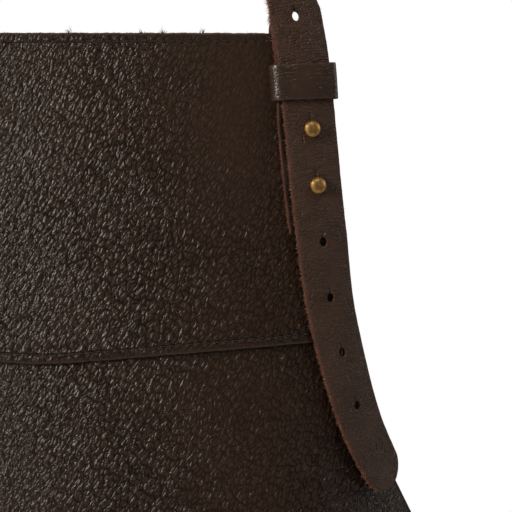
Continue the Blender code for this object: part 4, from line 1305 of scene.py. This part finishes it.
def waist_strap(name, node, sign, past_middle, lift_at, holes):
    radius = 0.5 * STRAP_WIDTH
    end = BACK_MIDDLE + past_middle
    rounds = [math.radians(END_ROUND * k / WAIST_END_STEPS) for k in range(WAIST_END_STEPS, 0, -1)]
    stops = [(WAIST_FRONT_END + radius * (1.0 - math.sin(a)), radius * math.cos(a)) for a in rounds]
    stops += [(u, radius) for u in np.linspace(WAIST_FRONT_END + radius, end - radius,
                                               WAIST_SECTIONS)]
    stops += [(end - radius * (1.0 - math.sin(a)), radius * math.cos(a)) for a in reversed(rounds)]
    sections = []
    for u, half in stops:
        def spot(across, height):
            crown = WAIST_CROWN * (1.0 - (across / half) ** 2) if height > 0.4 * STRAP_THICKNESS else 0.0
            edge = wobble(u, across, WAIST_SEEDS) * (abs(across) / half) ** 3
            point = place(u, WAIST_DROP + across + edge, lift_at(u) + height + crown)
            return on_side(point, sign)

        sections.append(section(half, STRAP_THICKNESS, 1, u, spot))
    strap = band(name, sections, STRAP_SLOTS)
    punch(strap, holes + [(rivet_frame(u, sign, 0.0), round_hole(RIVET_RADIUS + GAP), THROUGH)
                          for u in RIVET_U])
    return ride(strap, "apron", "strap_leather", node)


def back_frame(past_middle, h):
    u = BACK_MIDDLE + past_middle
    return frame_at(place(u, WAIST_DROP, h), outward(u))


def rivet_frame(u, sign, h):
    return frame_at(place(sign * u, WAIST_DROP, h), outward(sign * u))


def make_waist_straps():
    along = Matrix.Rotation(math.radians(-90.0), 4, "Z")
    outer_holes = []
    for k in range(WAIST_HOLES):
        past = WAIST_LAST_HOLE_PAST_MIDDLE - k * HOLE_PITCH
        taken = any(abs(past - stud) < 0.001 for stud in WAIST_STUD_PAST_MIDDLE)
        middle = outer_lift(BACK_MIDDLE + past) + 0.5 * STRAP_THICKNESS
        outer_holes.append((back_frame(past, middle) @ along,
                            STUD_HOLE if taken else SMALL_HOLE, THROUGH))
    middle = WAIST_LIFT + 0.5 * STRAP_THICKNESS
    inner_holes = [(back_frame(past, middle), round_hole(POST_HOLE_RADIUS), PANEL_THROUGH)
                   for past in WAIST_STUD_PAST_MIDDLE]
    waist_strap("waist_leather_left", "waist_strap_left", 1, WAIST_OUTER_PAST_MIDDLE,
                outer_lift, outer_holes)
    waist_strap("waist_leather_right", "waist_strap_right", -1, WAIST_INNER_PAST_MIDDLE,
                lambda u: WAIST_LIFT, inner_holes)


# ---------------------------------------------------------------- brass
def turned(name, profile, matrix):
    """Brass solid of revolution about Z. The profile's first and last points are on the axis."""
    points = [Vector((0.0, 0.0, profile[0][1])), Vector((0.0, 0.0, profile[-1][1]))]
    rings = profile[1:-1]
    for radius, z in rings:
        for k in range(ROUND_STEPS):
            angle = 2.0 * math.pi * k / ROUND_STEPS
            points.append(Vector((radius * math.cos(angle), radius * math.sin(angle), z)))
    last = len(points) - ROUND_STEPS
    faces = loft(2, len(rings), ROUND_STEPS)
    for k in range(ROUND_STEPS):
        after = (k + 1) % ROUND_STEPS
        faces += [(0, 2 + after, 2 + k), (1, last + k, last + after)]
    item = new_piece(name, points, faces, (BRASS,), sharp=BRASS_SHARP)
    item.matrix_world = matrix
    return item


def head_profile(base, radius, height):
    """Flattened dome with a small pip at its pole and a rolled rim."""
    top = base + height
    crown = base + 0.40 * height
    profile = [(0.0, top + PIP_HEIGHT), (0.55 * PIP_RADIUS, top + 0.85 * PIP_HEIGHT),
               (PIP_RADIUS, top + 0.1 * PIP_HEIGHT)]
    for k in range(3, 17):
        angle = 0.5 * math.pi * k / 16
        profile.append((radius * math.sin(angle) ** 0.92,
                        crown + 0.60 * height * math.cos(angle) ** 1.15))
    return profile + [(radius, crown - 0.00025), (0.985 * radius, crown - 0.0006),
                      (0.93 * radius, base + 0.00018), (0.88 * radius, base)]


def make_fastening(name, matrix, stud_node, screw_node, heights):
    head_at, flange_at, post_end, screw_at = heights
    bore_top = flange_at - EASE
    flange_top = flange_at + FLANGE_HEIGHT
    profile = head_profile(head_at, STUD_HEAD_RADIUS, STUD_HEAD_HEIGHT)
    profile += [(STUD_NECK_RADIUS + NECK_FILLET, head_at + 0.1 * NECK_FILLET),
                (STUD_NECK_RADIUS, head_at + NECK_FILLET), (STUD_NECK_RADIUS, flange_top),
                (FLANGE_RADIUS - EASE, flange_top), (FLANGE_RADIUS, flange_top - EASE),
                (FLANGE_RADIUS, flange_at), (POST_RADIUS, flange_at), (POST_RADIUS, post_end),
                (BORE_RADIUS, post_end), (BORE_RADIUS, bore_top), (0.0, bore_top)]
    ride(turned("stud_brass_" + name, profile, matrix), "apron", "aged_brass", stud_node)
    foot = screw_at - SCREW_HEAD_HEIGHT
    rim = foot + SCREW_DOME
    tip = bore_top - 2.0 * EASE
    profile = [(0.0, tip), (SCREW_RADIUS, tip), (SCREW_RADIUS, screw_at),
               (SCREW_HEAD_RADIUS - FINE_EASE, screw_at),
               (SCREW_HEAD_RADIUS, screw_at - FINE_EASE), (SCREW_HEAD_RADIUS, rim)]
    profile += [(SCREW_HEAD_RADIUS - SCREW_ROUND * k / 4,
                 rim - SCREW_DOME * math.sin(0.125 * math.pi * k)) for k in range(1, 5)]
    profile += [(0.5 * SCREW_HEAD_RADIUS, foot), (0.0, foot)]
    screw = turned("screw_brass_" + name, profile, Matrix.Identity(4))
    x, y = SCREW_HEAD_RADIUS + 0.001, 0.5 * SCREW_SLOT_WIDTH
    punch(screw, [(Matrix.Translation((0.0, 0.0, foot)), [(-x, -y), (x, -y), (x, y), (-x, y)],
                   SCREW_SLOT_DEPTH)], 0)
    screw.data.shade_smooth()
    screw.data.set_sharp_from_angle(angle=math.radians(BRASS_SHARP))
    screw.matrix_world = matrix
    ride(screw, "apron", "aged_brass", screw_node)


def make_fastenings():
    for side, sign in SIDES:
        for level, distance in (("upper", 0.0), ("lower", HOLE_PITCH)):
            name = side + "_" + level
            heights = (ramp(distance, STRAP_LIFT) + STRAP_THICKNESS + GAP,
                       ANCHOR_LIFT_AT_STUDS + ANCHOR_THICKNESS + GAP, -0.5 * LEATHER,
                       -(LEATHER + ANCHOR_BACK_GAP + ANCHOR_THICKNESS + GAP))
            make_fastening(name, strap_frame(distance, sign, 0.0), "neck_stud_" + name,
                           "neck_screw_" + name, heights)
    heights = (WAIST_OUTER_LIFT + STRAP_THICKNESS + GAP, WAIST_LIFT + STRAP_THICKNESS + GAP,
               WAIST_LIFT + WAIST_POST_END, WAIST_LIFT - GAP)
    for name, past in zip(("inner", "outer"), WAIST_STUD_PAST_MIDDLE):
        make_fastening("waist_" + name, back_frame(past, 0.0), "waist_stud_" + name,
                       "waist_screw_" + name, heights)


def make_rivets():
    head_at = WAIST_LIFT + STRAP_THICKNESS + GAP
    cap_at = -(2.0 * LEATHER + 2.0 * GAP)
    profile = [(0.0, head_at + RIVET_HEAD_HEIGHT)]
    for k in range(1, 11):
        angle = 0.5 * math.pi * k / 10
        profile.append((RIVET_HEAD_RADIUS * math.sin(angle),
                        head_at + EASE + (RIVET_HEAD_HEIGHT - EASE) * math.cos(angle)))
    profile += [(RIVET_HEAD_RADIUS - EASE, head_at), (RIVET_RADIUS, head_at),
                (RIVET_RADIUS, cap_at), (RIVET_HEAD_RADIUS - FINE_EASE, cap_at),
                (RIVET_HEAD_RADIUS, cap_at - EASE), (0.8 * RIVET_HEAD_RADIUS, cap_at - 0.0009),
                (0.35 * RIVET_HEAD_RADIUS, cap_at - 0.0010),
                (0.30 * RIVET_HEAD_RADIUS, cap_at - 0.0007), (0.0, cap_at - 0.0007)]
    for side, sign in SIDES:
        for spot, u in zip(("front", "rear"), RIVET_U):
            rivet = turned("rivet_brass_{}_{}".format(side, spot), profile,
                           rivet_frame(u, sign, 0.0))
            ride(rivet, "apron", "aged_brass", "waist_rivet_{}_{}".format(side, spot))


# ---------------------------------------------------------------- thread and loose fibres
def tube_points(centres, radii, sides):
    """Points in rings round a line of centres, each a Vector."""
    points = []
    for k, centre in enumerate(centres):
        ahead = centres[min(k + 1, len(centres) - 1)]
        behind = centres[max(k - 1, 0)]
        along = (ahead - behind).normalized()
        first = along.orthogonal().normalized()
        second = along.cross(first)
        for s in range(sides):
            angle = 2.0 * math.pi * s / sides
            points.append(centre + radii[k] * (math.cos(angle) * first + math.sin(angle) * second))
    return points


def tubes(name, runs, sides, material):
    """One mesh of many closed tubes. Each run is (centres, radii)."""
    points, faces, flat = [], [], []
    for number, (centres, radii) in enumerate(runs):
        base = len(points)
        points += tube_points(centres, radii, sides)
        travelled = THREAD_RUN * number
        for k, centre in enumerate(centres):
            travelled += (centre - centres[max(k - 1, 0)]).length
            flat += [(travelled, THREAD_ROUND * s / sides) for s in range(sides)]
        faces += loft(base, len(centres), sides)
        faces += [cap(base, sides), cap(len(points) - sides, sides)]
    item = new_piece(name, points, faces, (material,), flat=flat)
    return item


def stitch_row(name, drop_at, half_width, draw):
    """Stitches along a line of the bib, each dipping into the hide at its two ends."""
    runs = []
    count = int(2.0 * half_width / STITCH_PITCH)
    for k in range(count + 1):
        middle = (k - 0.5 * count) * STITCH_PITCH
        slant = STITCH_SLANT + STITCH_STRAY * draw.uniform(-1.0, 1.0)
        length = STITCH_LENGTH * draw.uniform(0.93, 1.05)
        centres, radii = [], []
        for j in range(9):
            f = j / 8.0
            u = middle + (f - 0.5) * length
            drop = drop_at(u) + slant * (2.0 * f - 1.0)
            rise = math.sin(math.pi * f) ** 0.6
            centres.append(place(u, drop, float(wave(u, drop)) - STITCH_SUNK + STITCH_RISE * rise))
            radii.append(THREAD_RADIUS * (0.72 + 0.28 * rise))
        runs.append((centres, radii))
    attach(tubes(name, runs, THREAD_SIDES, THREAD), "apron")


def make_stitching():
    draw = random.Random(4)
    stitch_row("bib_top_stitching", lambda u: TOP_STITCH_DROP, FACING_HALF_WIDTH - 0.001, draw)
    stitch_row("bib_seam_stitching", lambda u: float(seam(u)) - SEAM_STITCH_ABOVE,
               BIB_FOOT_HALF_WIDTH - 0.003, draw)


def stray(draw, spread):
    """A random vector, each part between -spread and spread."""
    return Vector([draw.uniform(-spread, spread) for _ in range(3)])


def hair(root, direction, length, droop, draw, radius, sign=1):
    """A loose fibre from a root, bending as it goes and thinning to its tip."""
    centres, radii = [], []
    bend = stray(draw, 1.0) * droop
    for k in range(5):
        f = k / 4.0
        centres.append(on_side(root + direction * length * f + bend * length * f * f, sign))
        radii.append(radius * (1.0 - 0.75 * f))
    return centres, radii


def edge_point(distance, edge, height):
    """A point on the strap's cut edge, and the way out from it."""
    half = 0.5 * STRAP_WIDTH
    if distance > FREE_FROM:
        past = distance - (TAIL_END - half)
        if past > 0.0:
            half = math.sqrt(max(0.0, half * half - past * past))
        lift = ramp(distance, STRAP_LIFT) + height
        root = strap_point(distance, edge * half, lift)
        return root, (strap_point(distance, edge * (half + 0.001), lift) - root).normalized()
    centre, _along, side_way, normal = free_frame_parts(free_t(distance))
    return (centre + side_way * edge * half + normal * (height - 0.5 * STRAP_THICKNESS),
            side_way * edge)


def strap_fuzz(draw, sign, count, first, last, longest):
    """Loose fibres of the strap's cut edges between two distances, most on the bib's side."""
    fuzz = []
    for _ in range(count):
        edge = -1.0 if draw.random() < NEAR_EDGE_SHARE else 1.0
        root, aside = edge_point(draw.uniform(first, last), edge,
                                 draw.uniform(0.1, 0.9) * STRAP_THICKNESS)
        direction = (aside + stray(draw, 0.6)).normalized()
        length = draw.uniform(0.3, 1.0) * longest * (1.0 if edge < 0.0 else 0.45)
        fuzz.append(hair(root, direction, length, 0.6, draw, STRAP_HAIR_RADIUS, sign))
    return fuzz


def top_hair(draw, u, near, deep, spread, rise, lengths, droop, radius):
    """A fibre that stands up from the bib's top edge at u."""
    root = place(u, 0.0002, -near - deep * draw.random())
    direction = Vector((draw.uniform(-spread, spread), draw.uniform(-0.5, 0.3), rise)).normalized()
    return hair(root, direction, draw.uniform(*lengths), droop, draw, radius)


def anchor_fuzz(draw, sign):
    """Short fibres along the anchor's cut edge on the bib's side, and a few long ones at its top."""
    fuzz = []
    for _ in range(ANCHOR_HAIRS):
        drop = draw.uniform(0.002, ANCHOR_FRONT_END - 0.002)
        root = place(anchor_middle(drop) + ANCHOR_LEFT, drop,
                     anchor_lift(drop) + draw.uniform(0.1, 0.9) * ANCHOR_THICKNESS)
        direction = (Vector((-1.0, 0.0, 0.0)) + stray(draw, 0.5)).normalized()
        fuzz.append(hair(root, direction, draw.uniform(*ANCHOR_HAIR), 0.5, draw,
                         ANCHOR_HAIR_RADIUS, sign))
    top = LONG_HAIRS_DROP
    for _ in range(LONG_HAIRS):
        root = place(anchor_middle(top) + ANCHOR_LEFT, top + 0.0006 * draw.random(),
                     anchor_lift(top) + 0.5 * ANCHOR_THICKNESS)
        direction = Vector((-0.8, -0.3, draw.uniform(0.1, 0.8))).normalized()
        fuzz.append(hair(root, direction, draw.uniform(*LONG_HAIR), 0.5, draw,
                         LONG_HAIR_RADIUS, sign))
    return fuzz


def make_fibres():
    draw = random.Random(11)
    tufts = [top_hair(draw, u + draw.gauss(0.0, TUFT_SPREAD), *TUFT_HAIR)
             for u in TUFTS_AT for _ in range(TUFT_HAIRS)]
    tufts += [top_hair(draw, draw.uniform(*TOP_FUZZ_SPAN), *TOP_FUZZ_HAIR)
              for _ in range(TOP_FUZZ_HAIRS)]
    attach(tubes("bib_edge_fibres", tufts, FIBRE_SIDES, DARK_FIBRE), "apron")
    for side, sign in SIDES:
        fuzz = [run for group in STRAP_FUZZ for run in strap_fuzz(draw, sign, *group)]
        fuzz += anchor_fuzz(draw, sign)
        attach(tubes("strap_edge_fibres_" + side, fuzz, FIBRE_SIDES, RED_FIBRE),
                "apron")
        ends = tubes("strap_end_fibres_" + side, strap_fuzz(draw, sign, *STRAP_END_FUZZ),
                     FIBRE_SIDES, RED_FIBRE)
        bend_with_tail(ends, sign)


# ---------------------------------------------------------------- floor, light and camera
def make_stage():
    half = FLOOR_HALF
    low = CAD_BOX[0].z - 0.002
    corners = [(-half, -half, low), (half, -half, low), (half, half, low), (-half, half, low)]
    shade = Shade("floor_paper", roughness=0.9, specular=0.2)
    spots = shade.noise(shade.where(), 3.0, 2.0)
    colour = shade.mix(spots, rgb(0.80, 0.79, 0.77), rgb(0.84, 0.83, 0.81))
    shade.feed(shade.shader.inputs["Base Color"], colour)
    new_piece("floor", corners, [(0, 1, 2, 3)], (shade.material,))


# Each lamp: name, place, aim, size, power in watts, colour.
LAMPS = (
    ("key", (-0.86, -0.92, 0.04), (-0.04, -0.14, -0.34), (0.42, 0.55), 10.6, (1.0, 0.95, 0.86)),
    ("front", (0.55, -1.40, 1.90), (0.05, -0.14, -0.4), (1.2, 0.8), 13.0, (1.0, 0.95, 0.87)),
    ("side", (2.1, 0.2, 0.4), (0.10, -0.05, -0.5), (1.4, 1.6), 11.0, (1.0, 0.98, 0.96)),
    ("back", (-0.4, 2.0, 0.9), (0.0, 0.0, -0.5), (1.6, 1.2), 30.0, (1.0, 0.99, 0.97)))


def soft_light(name, place_at, aim, size, power, colour):
    data = bpy.data.lights.new(name, "AREA")
    data.shape = "RECTANGLE"
    data.size, data.size_y = size
    data.energy = power
    data.color = colour
    lamp = linked(name, data)
    lamp.location = place_at
    lamp.rotation_euler = (Vector(aim) - Vector(place_at)).to_track_quat("-Z", "Y").to_euler()


def make_light():
    """A white background for the camera, a dim room for everything else, and the lamps."""
    world = bpy.data.worlds.new("studio")
    bpy.context.scene.world = world
    world.use_nodes = True
    nodes, links = world.node_tree.nodes, world.node_tree.links
    nodes.clear()
    mix = nodes.new("ShaderNodeMixShader")
    for index, colour, strength in ((1, rgb(0.95, 0.97, 1.0), 0.04), (2, rgb(1.0, 1.0, 1.0), 1.0)):
        light = nodes.new("ShaderNodeBackground")
        light.inputs["Color"].default_value = colour
        light.inputs["Strength"].default_value = strength
        links.new(light.outputs[0], mix.inputs[index])
    links.new(nodes.new("ShaderNodeLightPath").outputs["Is Camera Ray"], mix.inputs[0])
    links.new(mix.outputs[0], nodes.new("ShaderNodeOutputWorld").inputs["Surface"])
    for lamp in LAMPS:
        soft_light(*lamp)
    view = bpy.context.scene.view_settings
    view.view_transform = "Standard"
    view.look = "None"
    view.exposure = 0.0


def make_camera():
    data = bpy.data.cameras.new("camera")
    data.sensor_fit = "HORIZONTAL"
    data.sensor_width = 36.0
    data.lens = 180.0
    data.clip_start = 0.05
    data.clip_end = 50.0
    camera = linked("camera", data)
    camera.location = (0.09486, -1.270, -0.33365)
    camera.rotation_euler = (math.radians(90.0), 0.0, 0.0)
    bpy.context.scene.camera = camera


# ---------------------------------------------------------------- build
make_camera()
bib, bib_flat, bib_area = make_bib()
body, body_flat, body_area = make_body()
facing = make_facing()
make_neck_loop()
for side_name, side_sign in SIDES:
    make_strap_end(side_name, side_sign)
    make_anchor(side_name, side_sign)
    make_neck_keeper(side_name, side_sign)
make_waist_straps()
make_waist_keeper()
make_fastenings()
make_rivets()
make_stitching()
make_fibres()
make_stage()
make_light()
